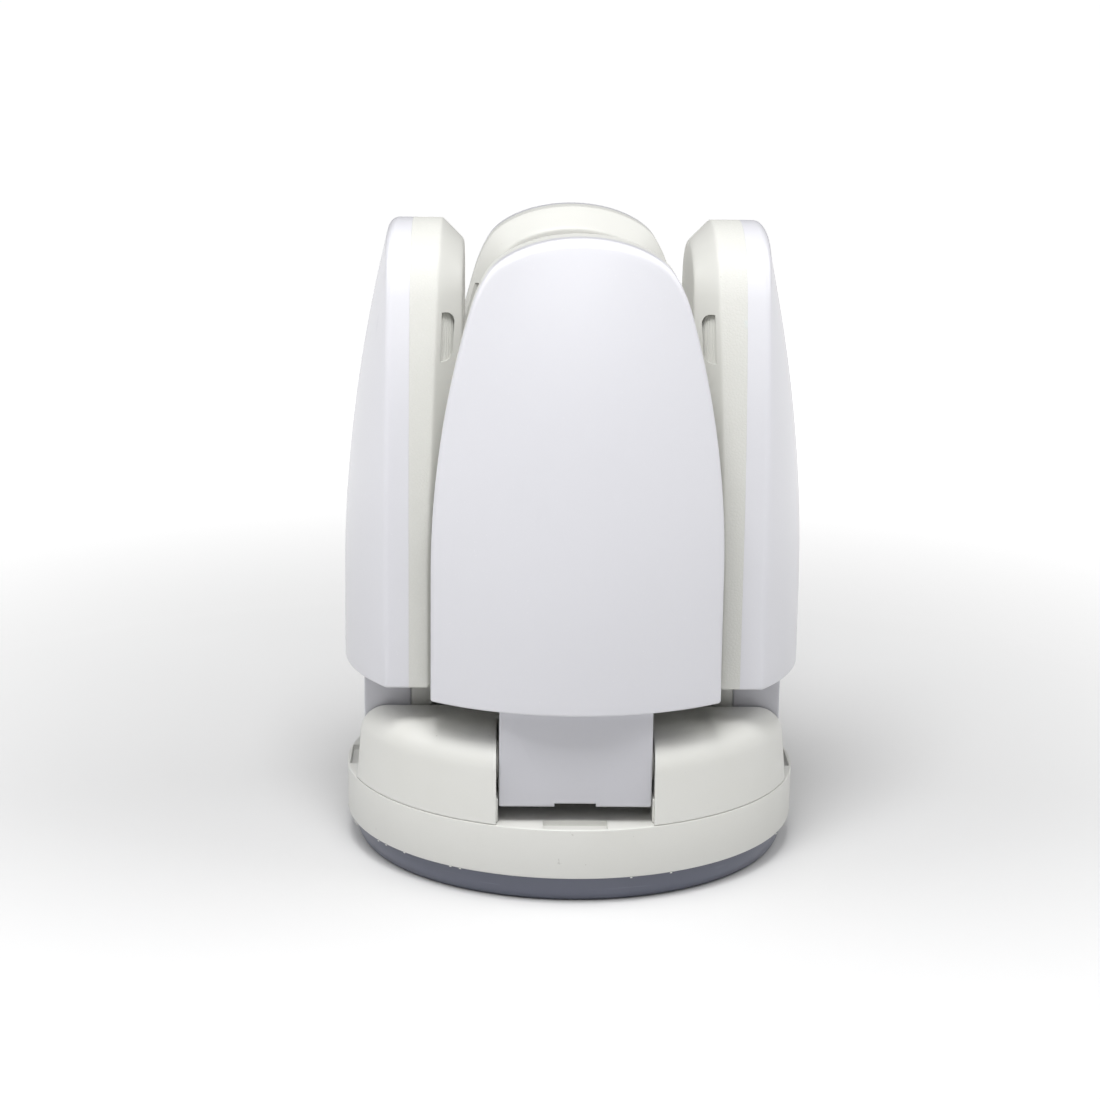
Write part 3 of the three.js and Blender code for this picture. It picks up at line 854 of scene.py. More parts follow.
@dataclass(frozen=True)
class PanelShape:
    """Outline and face of a light panel, as it stands at the front. Across is X, reach is -Y."""

    half_width: float
    bottom: float
    top: float
    split: float
    inner: float
    straight: float = 35.3 * MM
    taper: float = 10.4 * MM
    arch_rise: float = 18.1 * MM
    skirt: float = 6.2 * MM
    bulge: float = 13.2 * MM
    bulge_straight: float = 22.3 * MM
    side_bottom: float = 5.15 * MM
    side_top: float = 8.1 * MM
    corner: float = 0.6 * MM
    soften: float = 1.2 * MM
    soften_run: float = 8.0 * MM

    @property
    def taper_start(self) -> float:
        """The height where the sides begin to lean in."""
        return self.bottom + self.straight

    @property
    def arch_centre(self) -> float:
        """The height of the arch's centre."""
        return self.top - self.arch_rise

    @property
    def arch_half_width(self) -> float:
        """Half the width at the arch's centre."""
        return self.half_width - self.taper

    def side_half_width(self, height: Points) -> Points:
        """Half the width of the leaning sides at a height."""
        rise = np.maximum(0, height - self.taper_start)
        run = self.arch_centre - self.taper_start
        radius = (run ** 2 + self.taper ** 2) / (2 * self.taper)
        return self.half_width - radius + np.sqrt(radius ** 2 - rise ** 2)

    def half_width_at(self, height: Points, inset: Points) -> Points:
        """Half the width of the outline drawn in by an inset.

        Args:
            height: heights along the panel.
            inset: how far the outline is drawn in, one number or one for each height.

        Returns:
            The half widths, with a soft change from side to arch.
        """
        side = self.side_half_width(height) - inset
        rise = np.clip((height - self.arch_centre) / (self.arch_rise - inset), 0, 1)
        arch = (self.arch_half_width - inset) * np.sqrt(1 - rise ** 2)
        ease = np.clip((height - self.arch_centre) / self.soften_run, 0, 1)
        ease = ease * ease * (3 - 2 * ease)
        return side - ease * self.soften * np.logaddexp(0, (side - arch) / self.soften)

    @cached_property
    def outline(self) -> Points:
        """The outline as rows of across and height, from the bottom's middle and round by the right."""
        corner = self.corner
        along = np.linspace(0, 1, 16, endpoint=False)
        bottom = np.stack([along * (self.half_width - corner), np.full(16, self.bottom)], 1)
        turn = np.radians(np.linspace(-90, 0, 6, endpoint=False))
        bend = np.stack([self.half_width - corner + corner * np.cos(turn),
                         self.bottom + corner + corner * np.sin(turn)], 1)
        heights = np.linspace(self.bottom + corner, self.arch_centre, 34, endpoint=False)
        side = np.stack([self.half_width_at(heights, 0.0), heights], 1)
        angle = np.radians(np.linspace(0, 90, 30))
        rises = self.arch_centre + self.arch_rise * np.sin(angle)
        arch = np.stack([self.half_width_at(rises, 0.0), rises], 1)
        arch[-1, 0] = 0
        right = np.concatenate([bottom, bend, side, arch])
        left = right[1:-1][::-1] * np.array([-1, 1])
        return np.concatenate([right, left])

    def drawn_in(self, inset: Points) -> Points:
        """The outline drawn in, point for point.

        Args:
            inset: one number, or one for each outline point.

        Returns:
            Rows of across and height.
        """
        across, height = self.outline.T
        low = self.taper_start
        squeeze = (low - self.bottom - inset) / (low - self.bottom)
        lift = (self.arch_rise - inset) / self.arch_rise
        moved = np.where(height < low, low - (low - height) * squeeze, height)
        raised = self.arch_centre + (height - self.arch_centre) * lift
        moved = np.where(height > self.arch_centre, raised, moved)
        was = np.maximum(self.half_width_at(height, 0.0), 1e-9)
        now = self.half_width_at(moved, inset)
        return np.stack([across * now / was, moved], 1)

    def to_spine(self, points: Points, share: float) -> Points:
        """Draw points in towards the panel's middle line; share 1 puts them on it."""
        across, height = points.T
        spine = np.clip(height, self.bottom + self.arch_rise, self.arch_centre)
        return np.stack([across * (1 - share), height + (spine - height) * share], 1)

    def face(self, points: Points) -> Points:
        """How far out the cover's face stands at rows of across and height."""
        across, height = points.T
        start = self.bottom + self.bulge_straight
        fade = np.maximum(0, height - start) / (self.top - start)
        sagitta = np.maximum(1e-5, self.bulge * (1 - fade ** 2))
        chord = np.maximum(self.arch_half_width / 2, self.side_half_width(height))
        radius = (chord ** 2 + sagitta ** 2) / (2 * sagitta)
        return self.split + self.skirt + sagitta - radius + np.sqrt(radius ** 2 - across ** 2)

    def side_reach(self, height: Points) -> Points:
        """The reach where the shell's side wall meets its chamfer."""
        share = np.maximum(0, height - self.taper_start) / (self.top - self.taper_start)
        return self.split - (self.side_bottom + (self.side_top - self.side_bottom) * share)

    @staticmethod
    def stand(points: Points, reach: Points) -> Points:
        """Rows of across and height with their reach, as points in space."""
        return np.stack([points[:, 0], -reach * np.ones(len(points)), points[:, 1]], 1)


@dataclass
class Panels:
    """The four hinged light panels."""

    wall: float = 2.0 * MM
    seam: float = 0.01 * MM
    neck_half: float = 20.4 * MM
    neck_round: float = 0.6 * MM
    neck_front: float = 8.1 * MM
    neck_back: float = 11.0 * MM
    edge_low: float = 0.5 * MM
    edge_side: float = 1.2 * MM
    edge_top: float = 2.4 * MM
    notch_half: float = 5.55 * MM
    notch_height: float = 1.2 * MM
    notch_depth: float = 3.0 * MM
    slot_below_top: float = 22.4 * MM
    slot_height: float = 12.8 * MM
    slot_in: float = 1.2 * MM
    slot_run: float = 3.3 * MM
    slot_round: float = 2.5 * MM
    slot_sunk: float = 1.1 * MM
    slot_ribs: int = 5
    rib_pitch: float = 0.9 * MM
    rib_half: float = 0.2 * MM
    hinge_bore: float = 2.75 * MM
    pocket_radius: float = 2.95 * MM
    pocket_depth: float = 1.9 * MM
    diode_columns: int = 6
    diode_rows: int = 13
    shape: PanelShape = field(init=False)
    hinge: tuple[float, float] = field(init=False)
    neck_bottom: float = field(init=False)

    def __post_init__(self) -> None:
        """Take the panel's place from the frame."""
        cover_low, cover_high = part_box("front_cover")
        _, shell_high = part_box("front_shell")
        pin_low, pin_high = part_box("front_hinge_pin")
        sink_low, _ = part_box("front_heat_sink")
        self.neck_bottom = cover_low[2]
        self.hinge = (-(pin_low[1] + pin_high[1]) / 2, (pin_low[2] + pin_high[2]) / 2)
        self.shape = PanelShape(half_width=cover_high[0], bottom=sink_low[2] - 4.5 * MM, top=cover_high[2],
                                split=-cover_high[1] - 0.15 * MM, inner=-shell_high[1])

    def _neck(self, reach: tuple[float, float], low: float, high: float, half: float,
              rounding: float) -> bpy.types.Mesh:
        """A block in the neck's place."""
        return rounded_block((-half, -reach[1], low), (half, -reach[0], high), rounding)

    def cover_mesh(self) -> bpy.types.Mesh:
        """The opal cover with its neck, notch and hinge holes."""
        shape = self.shape
        back = shape.split + self.seam
        height = shape.outline[:, 1]
        lift = np.clip((height - shape.bottom - 1 * MM) / (12 * MM), 0, 1)
        crown = np.clip((height - shape.arch_centre) / shape.arch_rise, 0, 1)
        edge = (self.edge_low + (self.edge_side - self.edge_low) * lift
                + (self.edge_top - self.edge_side) * crown)
        rings = []
        inner = shape.drawn_in(self.wall)
        for share in (1.0, 0.8, 0.6, 0.4, 0.2, 0.08, 0.0):
            here = shape.to_spine(inner, share)
            rings.append(shape.stand(here, shape.face(here) - self.wall))
        rings.append(shape.stand(inner, np.full(len(inner), back)))
        outer = shape.drawn_in(0.0)
        wall_top = shape.face(outer) - edge
        for share in (0.0, 0.35, 0.7, 0.94):
            rings.append(shape.stand(outer, back + (wall_top - back) * share))
        for turn in np.radians(np.linspace(0, 90, 9)):
            here = shape.drawn_in(edge * (1 - math.cos(turn)))
            rings.append(shape.stand(here, shape.face(here) - edge * (1 - math.sin(turn))))
        rim = shape.drawn_in(edge)
        for share in 1 - np.linspace(1, 0, 17)[1:] ** 1.35:
            here = shape.to_spine(rim, share)
            rings.append(shape.stand(here, shape.face(here)))
        body = ring_loft("cover", rings)
        axis, axle = self.hinge
        front = axis + self.neck_front
        neck = self._neck((back, front), self.neck_bottom, shape.bottom + 1.2 * MM, self.neck_half,
                          self.neck_round)
        flat_back = self._neck((back - 4 * MM, back), self.neck_bottom - MM, shape.bottom - MM,
                               self.neck_half + MM, 0)
        hollow = self._neck((back - MM, front - self.wall), self.neck_bottom + self.wall,
                            shape.bottom + 2 * self.wall, self.neck_half - self.wall, 0)
        notch = self._neck((front - self.notch_depth, front + MM), self.neck_bottom - MM,
                           self.neck_bottom + self.notch_height, self.notch_half, 0)
        bore = rod(self.hinge_bore, (-30 * MM, -axis, axle), (30 * MM, -axis, axle))
        taken = [(Cut.TAKE, tool) for tool in (flat_back, hollow, notch, bore)]
        return carve(body, [(Cut.JOIN, neck), *taken])

    def _slot_cutter(self, hand: int) -> bpy.types.Mesh:
        """The prism that opens one slot in the chamfer, straight outside and rounded inside."""
        shape = self.shape
        top = shape.top - self.slot_below_top
        low = top - self.slot_height
        near_low, near_top = shape.side_reach(np.array([low, top])) - self.slot_in
        bend = self.slot_round
        far_low, far_top = near_low - self.slot_run, near_top - self.slot_run
        outline = [(near_low, low), *arc((far_low + bend, low + bend), bend, 270, 180, 6),
                   *arc((far_top + bend, top - bend), bend, 180, 90, 6), (near_top, top)]
        width = shape.half_width
        rings = [np.array([(hand * across, -reach, height) for reach, height in outline])
                 for across in (width * 0.38, width)]
        return ring_loft("slot", rings, cap=True)

    def _slot_liner(self, hand: int) -> list[bpy.types.Mesh]:
        """The shallow floor with fine ribs behind a slot, set parallel to the chamfer."""
        shape = self.shape
        tall = self.slot_height + 1.2 * MM
        middle = shape.top - self.slot_below_top - self.slot_height / 2
        inward = self.slot_in + self.slot_run * 0.6
        reach = float(shape.side_reach(np.array([middle]))[0]) - inward
        across = float(shape.half_width_at(np.array([middle]), 0.0)[0]) - inward
        wide = self.slot_run * 0.9
        blocks = [rounded_block((-wide, -1.0 * MM, -tall / 2), (wide, 0, tall / 2), 0)]
        for rib in range(self.slot_ribs):
            x = (rib + 0.5 - self.slot_ribs / 2) * self.rib_pitch
            blocks.append(rounded_block((x - self.rib_half, -0.1 * MM, -tall / 2),
                                        (x + self.rib_half, 0.12 * MM, tall / 2), 0))
        ends = middle + np.array([-0.5, 0.5]) * self.slot_height
        half_low, half_top = shape.half_width_at(ends, 0.0)
        lean = math.atan2(half_low - half_top, self.slot_height)
        for block in blocks:
            block.transform(Matrix.Translation((0, -self.slot_sunk, 0)))
            block.transform(Matrix.Rotation(math.radians(-45), 4, "Z"))
            block.transform(Matrix.Rotation(-lean, 4, "Y"))
            block.transform(Matrix.Translation((across, -reach, middle)))
            if hand < 0:
                block.transform(Matrix.Diagonal((-1, 1, 1, 1)))
                block.flip_normals()
        return blocks

    def shell_mesh(self) -> bpy.types.Mesh:
        """The cream shell with its chamfer, slots, neck and screw pockets."""
        shape = self.shape
        front = shape.split - self.seam
        heights = shape.outline[:, 1]
        side = shape.side_reach(heights)
        depth = side - shape.inner
        ones = np.ones(len(heights))
        rings = []
        for share in (1.0, 0.5, 0.0):
            here = shape.to_spine(shape.drawn_in(depth + self.wall * 0.5), share)
            rings.append(shape.stand(here, (shape.inner + self.wall) * ones))
        rings.append(shape.stand(shape.drawn_in(self.wall), side + self.wall * 0.5))
        rings.append(shape.stand(shape.drawn_in(self.wall), front * ones))
        for inset, reach in ((0.0, front * ones), (0.0, front - 0.35 * (front - side)),
                             (0.0, side + 1.2 * MM), (0.0, side + 0.45 * MM), (0.05 * MM, side + 0.15 * MM),
                             (0.18 * MM, side - 0.08 * MM), (0.42 * MM, side - 0.38 * MM),
                             (0.9 * MM, side - 0.9 * MM)):
            rings.append(shape.stand(shape.drawn_in(inset), reach))
        for share in (0.3, 0.55, 0.8):
            rings.append(shape.stand(shape.drawn_in(depth * share), side - depth * share))
        for inset, reach in ((-0.95, 0.95), (-0.45, 0.50), (-0.1, 0.24), (0.3, 0.08), (0.8, 0.0)):
            rings.append(shape.stand(shape.drawn_in(depth + inset * MM), (shape.inner + reach * MM) * ones))
        for share in (0.35, 0.7, 1.0):
            here = shape.to_spine(shape.drawn_in(depth + 0.8 * MM), share)
            rings.append(shape.stand(here, shape.inner * ones))
        body = ring_loft("shell", rings)
        neck_to = self.hinge[0] - self.neck_back
        neck = self._neck((neck_to, front), self.neck_bottom, shape.bottom + MM, self.neck_half,
                          self.neck_round)
        flat_front = self._neck((front, front + 4 * MM), self.neck_bottom - MM, shape.bottom + 3 * MM,
                                self.neck_half + MM, 0)
        hollow = self._neck((neck_to + self.wall, front + MM), self.neck_bottom + self.wall,
                            shape.bottom + 2 * self.wall, self.neck_half - self.wall, 0)
        steps = [(Cut.JOIN, neck), (Cut.TAKE, flat_front), (Cut.TAKE, hollow)]
        for hand in (-1, 1):
            steps.append((Cut.TAKE, self._slot_cutter(hand)))
        for x, y, z in self.screw_places():
            steps.append((Cut.TAKE, rod(self.pocket_radius, (x, y + MM, z), (x, y - self.pocket_depth, z))))
        shell = carve(body, steps)
        liners = [block for hand in (-1, 1) for block in self._slot_liner(hand)]
        return join_meshes([shell, *liners])

    def screw_places(self) -> list[tuple[float, float, float]]:
        """The middles of the front panel's two screw heads, on the shell's inner face."""
        places = []
        for name in ("front_screw_lower", "front_screw_upper"):
            low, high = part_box(name)
            places.append(((low[0] + high[0]) / 2, -self.shape.inner, (low[2] + high[2]) / 2))
        return places

    def _screw_mesh(self) -> bpy.types.Mesh:
        """Both screws of the front panel, heads and shanks."""
        low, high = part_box("front_screw_lower")
        places = np.array([(x, high[1] - SCREW_HEIGHT, z) for x, _, z in self.screw_places()])
        tips = places.copy()
        tips[:, 1] = low[1]
        return screw_set(places, TURN_IN, tips)

    def _bush_mesh(self) -> bpy.types.Mesh:
        """The pair of hinge bushes of the front panel."""
        low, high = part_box("front_bush_b")
        axis, axle = self.hinge
        rim, thick, sleeve, bore = 5.2 * MM, 0.4 * MM, 2.68 * MM, 1.6 * MM
        inner, outer = low[0], high[0]
        profile = [(bore, inner), (sleeve, inner), (sleeve, outer - thick), (rim - 0.1 * MM, outer - thick),
                   (rim, outer - thick * 0.6), (rim, outer - 0.1 * MM), (rim - 0.1 * MM, outer),
                   (bore, outer)]
        right = lathe("bush", profile, 48)
        right.transform(Matrix.Translation((0, -axis, axle)) @ Matrix.Rotation(math.pi / 2, 4, "Y"))
        left = right.copy()
        left.transform(Matrix.Rotation(math.pi, 4, Vector((0, 0, 1))))
        left.transform(Matrix.Translation((0, -2 * axis, 0)))
        return join_meshes([right, left])

    def _diode_mesh(self) -> tuple[bpy.types.Mesh, bpy.types.Mesh]:
        """The diodes on the front panel's board: their frames and their phosphor windows."""
        low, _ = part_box("front_led_board")
        columns = np.linspace(-0.6, 0.6, self.diode_columns) * self.shape.arch_half_width * 1.2
        rows = np.linspace(low[2] + 5 * MM, self.shape.arch_centre - 4 * MM, self.diode_rows)
        grid = np.array([(x, low[1], z) for x in columns for z in rows if not any(
            math.hypot(x - p[0], z - p[2]) < 4 * MM for p in self.screw_places())])
        return diode_set(grid, TURN_OUT)

    def _with_grain(self, mesh: bpy.types.Mesh) -> bpy.types.Mesh:
        """Store where the shell's side walls are, which carry the leather grain."""
        _, minus_reach, height = vertices(mesh).T
        reach = -minus_reach
        on_side = (reach > self.shape.side_reach(height) + 0.3 * MM) & (height > self.shape.bottom + MM)
        place_attribute(mesh, "grain", on_side.astype(float))
        return mesh

    def build(self) -> None:
        """Make all four panels."""
        cover = self.cover_mesh()
        shell = self._with_grain(self.shell_mesh())
        screws = self._screw_mesh()
        bushes = self._bush_mesh()
        frames, windows = self._diode_mesh()
        for side in Side:
            name, body = side.label, f"{side.label}_panel"
            marked = Look.SHELL_MARKED if side is Side.RIGHT else Look.SHELL
            pieces = (
                ("diffuser_cover", cover, Look.OPAL, [f"{name}_cover"]),
                ("rear_shell", shell, marked, [f"{name}_shell"]),
                ("panel_screws", screws, Look.STEEL, [f"{name}_screw_lower", f"{name}_screw_upper"]),
                ("hinge_bushes", bushes, Look.NYLON, [f"{name}_bush_a", f"{name}_bush_b"]),
                ("diode_frames", frames, Look.BOARD_WHITE, []),
                ("diode_windows", windows, Look.PHOSPHOR, []),
            )
            for label, mesh, look, nodes in pieces:
                turned = mesh.copy()
                turned.transform(side.turn)
                place_piece(f"{name}_{label}", turned, look, body, *nodes)
            dress_node(f"{name}_led_board", Look.BOARD_WHITE)
            dress_node(f"{name}_heat_sink", Look.ALUMINIUM)
            dress_node(f"{name}_hinge_pin", Look.STEEL)


# ---------------------------------------------------------------- the base


@dataclass
class Base:
    """The round base: lens, ring, pedestals, board, plate and screws."""

    ring_wall: float = 2.1 * MM
    deck: float = 2.6 * MM
    wall: float = 2.0 * MM
    pocket_half: float = 21.1 * MM
    fillet: float = 7.5 * MM
    draft: float = 1.1 * MM
    edge: float = 0.55 * MM
    recess_half: float = 8.6 * MM
    recess_run: float = 6.6 * MM
    recess_depth: float = 1.5 * MM
    recess_inset: float = 1.0 * MM
    lens_round: float = 2.4 * MM
    lens_rise: float = 5.6 * MM
    pocket_back: float = 33.5 * MM
    diode_rings: tuple[tuple[float, int], ...] = ((26 * MM, 16), (46 * MM, 28))
    flecks: int = 26
    ledge: float = 0.45 * MM
    ledge_height: float = 6.6 * MM

    def lens(self) -> None:
        """The tinted lens that the lamp stands on."""
        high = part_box("bottom_lens")[1]
        radius, top, inner = high[0], high[2], high[0] - self.wall
        bowl = [(radius - self.lens_round * (1 - math.cos(t)), self.lens_rise * (1 - math.sin(t)))
                for t in np.radians(np.linspace(90, 0, 11))]
        profile = [(0.0, 0.0), (radius * 0.5, 0.0), *bowl, (radius, top), (inner, top), (inner, self.wall),
                   (0.0, self.wall)]
        place_piece("base_lens", lathe("lens", profile), Look.SMOKED, "base", "bottom_lens")

    def ring(self) -> None:
        """The ring and its deck, with a shallow recess under each panel."""
        low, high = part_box("base_ring")
        radius, bottom, top = high[0], low[2], high[2]
        inner, step = radius - self.ring_wall, 2 * MM
        under = top - self.deck
        hole = 10 * MM
        profile = [(hole, under), (inner - step, under), (inner - step, under - 1.3 * MM),
                   (inner, under - 1.3 * MM),
                   (inner, bottom + 0.3 * MM), (inner + 0.3 * MM, bottom),
                   *arc((radius - 0.6 * MM, bottom + 0.5 * MM), 0.5 * MM, -90, 0, 4),
                   *arc((radius - 0.35 * MM, top - 0.35 * MM), 0.35 * MM, 0, 90, 4), (hole, top)]
        body = lathe("ring", profile, 200)
        steps = []
        far = radius - self.recess_inset
        for side in Side:
            block = rounded_block((-self.recess_half, -far, top - self.recess_depth),
                                  (self.recess_half, -far + self.recess_run, top + 4 * MM), 0.35 * MM, 2)
            block.transform(side.turn)
            steps.append((Cut.TAKE, block))
        place_piece("base_collar", carve(body, steps), Look.CREAM, "base", "base_ring")

    def _plan(self, radius: float, inset: float, height: float) -> Points:
        """One level of the pedestals: a ring of points round the cross of pockets.

        Args:
            radius: the outer radius.
            inset: how far the pocket walls are drawn back into the pedestals.
            height: the level.

        Returns:
            The points, anticlockwise from above.
        """
        half, stop, soft = self.pocket_half + inset, self.pocket_back - inset, 0.5 * MM
        far = math.sqrt(radius ** 2 - half ** 2)
        start = math.atan2(-far, half) + soft / radius
        end = math.atan2(-half, far) - soft / radius
        quarter = [(half, -stop)]
        quarter += [(half, -stop - (far - soft - stop) * share) for share in (0.3, 0.6, 1.0)]
        quarter += [(half + 0.12 * soft, -far + 0.35 * soft)]
        quarter += [(radius * math.cos(t), radius * math.sin(t)) for t in np.linspace(start, end, 37)]
        quarter += [(far - 0.35 * soft, -half - 0.12 * soft)]
        quarter += [(stop + (far - soft - stop) * share, -half) for share in (1.0, 0.6, 0.3)]
        quarter += [(stop, -half)]
        points = []
        for turn in (0, 90, 180, 270):
            c, s = round(math.cos(math.radians(turn))), round(math.sin(math.radians(turn)))
            points += [(x * c - y * s, x * s + y * c, height) for x, y in quarter]
        return np.array(points)

    def pedestals(self) -> None:
        """The top housing: four pedestals with rounded tops and the pockets between them."""
        low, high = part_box("top_housing")
        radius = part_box("base_ring")[1][0]
        bottom, top = low[2] - 0.2 * MM, high[2]
        shoulder = radius - self.draft
        rings = []
        under = top - self.wall
        bend = self.fillet - self.wall
        for turn in np.radians(np.linspace(90, 0, 7)):
            rings.append(self._plan(shoulder - self.fillet + bend * math.cos(turn), self.wall,
                                    under - bend * (1 - math.sin(turn))))
        rings.append(self._plan(radius - self.wall, self.wall, bottom))
        rings.append(self._plan(radius - 0.25 * MM, 0.0, bottom))
        slack, foot = 0.05 * MM, bottom + 0.25 * MM
        for share in (0.0, 0.3, 0.65, 1.0):
            rings.append(self._plan(radius - slack - (self.draft - slack) * share, 0.0,
                                    foot + (top - self.fillet - foot) * share))
        for turn in np.radians([6, 12, 20, 28, 36, 45, 54, 63, 71, 78, 84, 90]):
            height = top - self.fillet * (1 - math.sin(turn))
            near = max(0.0, height - (top - self.edge)) / self.edge
            inset = self.edge * (1 - math.sqrt(max(0.0, 1 - near ** 2)))
            rings.append(self._plan(shoulder - self.fillet * (1 - math.cos(turn)), inset, height))
        shells = [ring_loft("pedestals", rings, cap=True)]
        for side in Side:
            for hand in (-1, 1):
                across = sorted((hand * (self.pocket_half - self.ledge),
                                 hand * (self.pocket_half + 0.3 * MM)))
                ledge = rounded_block((across[0], -radius + 5.8 * MM, bottom + 0.1 * MM),
                                      (across[1], -self.pocket_back - 3 * MM, bottom + self.ledge_height),
                                      0.12 * MM, 1)
                ledge.transform(side.turn)
                shells.append(ledge)
        place_piece("pedestal_housing", join_meshes(shells), Look.CREAM, "base", "top_housing")

    def screws(self) -> None:
        """The four screws that hold the pedestals to the deck."""
        names = [f"housing_screw_{i}" for i in range(1, 5)]
        boxes = [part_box(name) for name in names]
        places = np.array([((low[0] + high[0]) / 2, (low[1] + high[1]) / 2, low[2] + SCREW_HEIGHT)
                           for low, high in boxes])
        tips = places.copy()
        tips[:, 2] = boxes[0][1][2]
        place_piece("housing_screws", screw_set(places, TURN_DOWN, tips), Look.STEEL, "base", *names)

    def diodes(self) -> None:
        """The diodes on the board behind the lens, in two rings."""
        low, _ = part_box("base_led_board")
        places = np.concatenate([
            on_circle(radius, np.linspace(0, 2 * math.pi, count, endpoint=False), low[2])
            for radius, count in self.diode_rings])
        frames, windows = diode_set(places, TURN_DOWN)
        place_piece("base_diode_frames", frames, Look.BOARD_WHITE, "base")
        place_piece("base_diode_windows", windows, Look.PHOSPHOR, "base")

    def flash(self) -> None:
        """Tiny flecks of mould flash along the ring's lower edge."""
        low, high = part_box("base_ring")
        random = np.random.default_rng(11)
        angle = np.sort(random.uniform(0, 2 * math.pi, self.flecks))
        radius = high[0] - 0.08 * MM
        height = low[2] + random.uniform(-0.1, 0.05, self.flecks) * MM
        half = np.array([0.15, 0.35, 0.12]) * MM
        flecks = REPEATER.spread(rounded_block(-half, half, 0.1 * MM, 1), on_circle(radius, angle, height),
                                 about_z(angle), Look.CREAM)
        place_piece("mould_flash", flecks, Look.CREAM, "base")

    def build(self) -> None:
        """Make the whole base."""
        self.lens()
        self.ring()
        self.pedestals()
        self.flash()
        self.screws()
        self.diodes()
        dress_node("base_led_board", Look.BOARD_WHITE)
        dress_node("base_heat_plate", Look.ALUMINIUM)


# ---------------------------------------------------------------- the column and screw base


@dataclass
class Column:
    """The driver's column and the screw base on top of it."""

    wall: float = 2.0 * MM
    ribs: int = 28
    rib_depth: float = 0.7 * MM
    pitch: float = 3.63 * MM
    thread: float = 0.65 * MM
    skin: float = 0.9 * MM
    cap_radius: float = 13.2 * MM

    def column(self) -> None:
        """The column with its shoulder and upright ribs."""
        low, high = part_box("driver_column")
        cap_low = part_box("screw_shell")[0][2]
        radius, bottom = high[0] - self.rib_depth, low[2]
        shoulder = cap_low - 9.3 * MM
        neck = self.cap_radius - self.skin - self.thread - 0.1 * MM
        top = self.cap_radius + self.wall
        profile = [(radius - 1.2 * MM, bottom), (high[0], bottom), (high[0], bottom + 2.4 * MM),
                   (radius + 0.1 * MM, bottom + 3.2 * MM), (radius, shoulder - 3 * MM),
                   *arc((radius - 3 * MM, shoulder - 3 * MM), 3 * MM, 0, 55, 5),
                   (top + 0.6 * MM, cap_low - 1.2 * MM), (top, cap_low - 0.5 * MM),
                   (top - 0.3 * MM, cap_low - 0.3 * MM),
                   (neck, cap_low - 0.3 * MM), (neck, high[2]), (neck - self.wall, high[2]),
                   (neck - self.wall, shoulder - 1 * MM), (radius - self.wall, shoulder - 6 * MM),
                   (radius - self.wall, bottom + self.wall), (8 * MM, bottom + self.wall), (8 * MM, bottom)]
        body = lathe("column", profile, 128)
        angle = np.linspace(0, 2 * math.pi, self.ribs, endpoint=False)
        foot = radius - 0.3 * MM
        rib = rounded_block((0, -0.6 * MM, 0),
                            (self.rib_depth + 0.25 * MM, 0.6 * MM, shoulder - bottom - 9 * MM), 0.22 * MM, 2)
        ribs = REPEATER.spread(rib, on_circle(foot, angle, bottom + 5 * MM), about_z(angle), Look.CREAM)
        place_piece("driver_housing", join_meshes([body, ribs]), Look.CREAM, "base", "driver_column")

    def cap(self) -> None:
        """The threaded cap: a skin whose radius follows the helix."""
        low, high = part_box("screw_shell")
        bottom, top = low[2], high[2]
        thread_top = top - 2.9 * MM
        sides, rows = 96, 60
        angle = np.linspace(0, 2 * math.pi, sides, endpoint=False)

        def level(radius: float, height: float) -> Points:
            """One ring of the skin, drawn in where the thread's valley passes.

            Args:
                radius: the ring's radius on the crest.
                height: its level.

            Returns:
                The ring's points.
            """
            fade = max(0.0, min(1.0, (height - bottom) / (2 * MM), (thread_top - height) / (2 * MM)))
            wave = (1 - np.cos(2 * math.pi * height / self.pitch - angle)) / 2
            return on_circle(radius - fade * self.thread * wave, angle, height)

        heights = np.linspace(bottom, thread_top, rows)
        tip = self.cap_radius * 0.6
        rings = [level(self.cap_radius, height) for height in heights]
        for radius, height in arc((self.cap_radius - 2 * MM, thread_top), 2 * MM, 20, 70, 4):
            rings.append(level(radius, height))
        rings.append(level(tip, top))
        rings.append(level(tip, top - self.skin))
        rings += [level(self.cap_radius - self.skin, height) for height in heights[::-1]]
        place_piece("screw_cap", ring_loft("cap", rings, loop=True), Look.NICKEL, "base", "screw_shell")

    def tip(self) -> None:
        """The insulator and the contact."""
        low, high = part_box("contact_insulator")
        foot, top, outer = low[2], high[2], high[0]
        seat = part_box("screw_shell")[1][2] + 0.3 * MM
        profile = [(2 * MM, foot), (outer - 1.1 * MM, foot), (outer - 1.1 * MM, seat),
                   (outer - 0.2 * MM, seat), (outer, seat + 0.3 * MM), (outer - 0.4 * MM, seat + 0.9 * MM),
                   (outer - 2.3 * MM, top - 0.3 * MM), (outer - 2.7 * MM, top), (2 * MM, top)]
        insulator = lathe("insulator", profile, 96)
        place_piece("cap_insulator", insulator, Look.INSULATOR, "base", "contact_insulator")
        low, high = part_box("centre_contact")
        foot, top = low[2], high[2]
        profile = [(0.0, foot), (4.8 * MM, foot), (4.8 * MM, foot + 0.5 * MM), (4.5 * MM, foot + 0.9 * MM),
                   (3.4 * MM, foot + 1.6 * MM), (2.2 * MM, top - 0.25 * MM), (1.0 * MM, top), (0.0, top)]
        place_piece("cap_contact", lathe("contact", profile, 64), Look.BRASS, "base", "centre_contact")

    def build(self) -> None:
        """Make the column, the cap and what is inside."""
        self.column()
        self.cap()
        self.tip()
        dress_node("driver_board", Look.BOARD_GREEN)
        dress_node("driver_transformer", Look.DARK)
        dress_node("driver_capacitor", Look.DARK)
        dress_node("contact_lead", Look.DARK)


# ---------------------------------------------------------------- stage


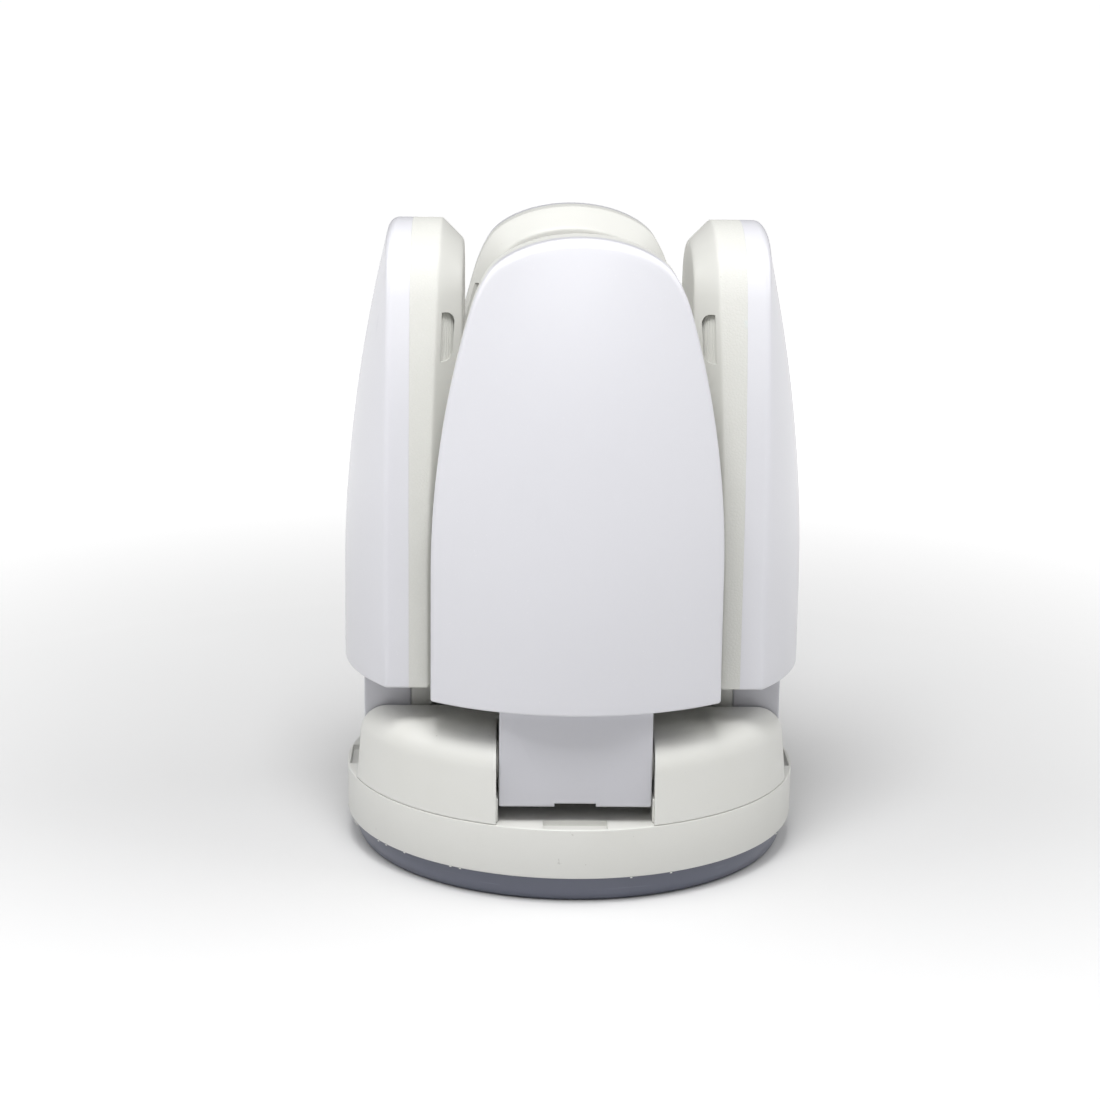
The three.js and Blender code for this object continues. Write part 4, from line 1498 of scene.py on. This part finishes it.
@dataclass
class Stage:
    """Pale floor, soft lights and the camera."""

    distance: float = 698.3 * MM
    elevation: float = 0.233
    yaw: float = 0.021
    roll: float = 0.012
    aim_height: float = 82.26 * MM
    aside: float = -6.3 * MM
    lens: float = 80.37
    world: float = 0.09
    near: float = 0.05
    far: float = 0.7

    def floor(self) -> None:
        """A wide pale floor."""
        work = bmesh.new()
        bmesh.ops.create_grid(work, x_segments=1, y_segments=1, size=120.0)
        mesh = bpy.data.meshes.new("floor")
        work.to_mesh(mesh)
        work.free()
        graph = Graph("floor paint")
        here = graph.position()
        mottle = graph.noise(here, 3.0, 2.0)
        tint = graph.blend(mottle * 0.3, (0.74, 0.74, 0.74), (0.725, 0.725, 0.73))
        far_off = graph.node("ShaderNodeVectorMath", {"operation": "LENGTH"}, {0: here})
        length = Value(graph, far_off.outputs["Value"])
        glow = graph.blend(length.ramp(self.near, self.far), (0.0, 0.0, 0.0), (0.95, 0.95, 0.95))
        mesh.materials.append(graph.surface(Base_Color=tint, Roughness=0.9, Specular_IOR_Level=0.1,
                                            Emission_Color=glow, Emission_Strength=1.0))
        floor = new_object("floor", mesh)

    def light(self, name: str, power: float, size: tuple[float, float], place: Sequence[float],
              aim: Sequence[float]) -> None:
        """A soft rectangular light.

        Args:
            name: its name.
            power: in watts.
            size: width and height.
            place: where it hangs.
            aim: the point that it faces.
        """
        lamp = bpy.data.lights.new(name, "AREA")
        lamp.shape = "RECTANGLE"
        lamp.size, lamp.size_y = size
        lamp.energy = power
        made = bpy.data.objects.new(name, lamp)
        made.location = place
        made.rotation_euler = (Vector(aim) - Vector(place)).to_track_quat("-Z", "Y").to_euler()
        bpy.context.scene.collection.objects.link(made)

    def camera(self) -> None:
        """The camera, level with the eye of someone standing over a table."""
        c, s = math.cos(self.yaw), math.sin(self.yaw)
        ce, se = math.cos(self.elevation), math.sin(self.elevation)
        right, ahead, up = Vector((c, -s, 0)), Vector((s * ce, c * ce, -se)), Vector((s * se, c * se, ce))
        place = right * self.aside + Vector((0, 0, self.aim_height)) - ahead * self.distance
        cr, sr = math.cos(self.roll), math.sin(self.roll)
        turned_right, turned_up = cr * right + sr * up, cr * up - sr * right
        data = bpy.data.cameras.new("camera")
        data.lens = self.lens
        data.sensor_width = 36.0
        data.clip_start = 0.01
        made = bpy.data.objects.new("camera", data)
        basis = Matrix((turned_right, turned_up, -ahead)).transposed().to_4x4()
        made.matrix_world = Matrix.Translation(place) @ basis
        bpy.context.scene.collection.objects.link(made)
        bpy.context.scene.camera = made

    def build(self) -> None:
        """Set up floor, light and camera."""
        scene = bpy.context.scene
        scene.view_settings.view_transform = "Standard"
        world = bpy.data.worlds.new("studio")
        world.use_nodes = True
        background = world.node_tree.nodes["Background"]
        background.inputs["Color"].default_value = (1, 1, 1, 1)
        background.inputs["Strength"].default_value = self.world
        scene.world = world
        self.floor()
        middle = (0, 0, 0.1)
        self.light("key", 3.0, (0.26, 0.26), (-0.04, -0.27, 0.65), middle)
        self.light("front", 0.65, (0.45, 0.45), (-0.10, -0.42, 0.48), middle)
        self.light("left", 1.35, (0.45, 0.45), (-0.42, -0.06, 0.50), middle)
        self.light("right", 1.6, (0.45, 0.45), (0.42, -0.06, 0.50), middle)
        self.camera()


def main() -> None:
    """Build the lamp around the frame."""
    logging.basicConfig(level=logging.INFO, format="%(name)s: %(message)s")
    Stage().build()
    Base().build()
    Column().build()
    Panels().build()


if __name__ == "__main__":
    main()
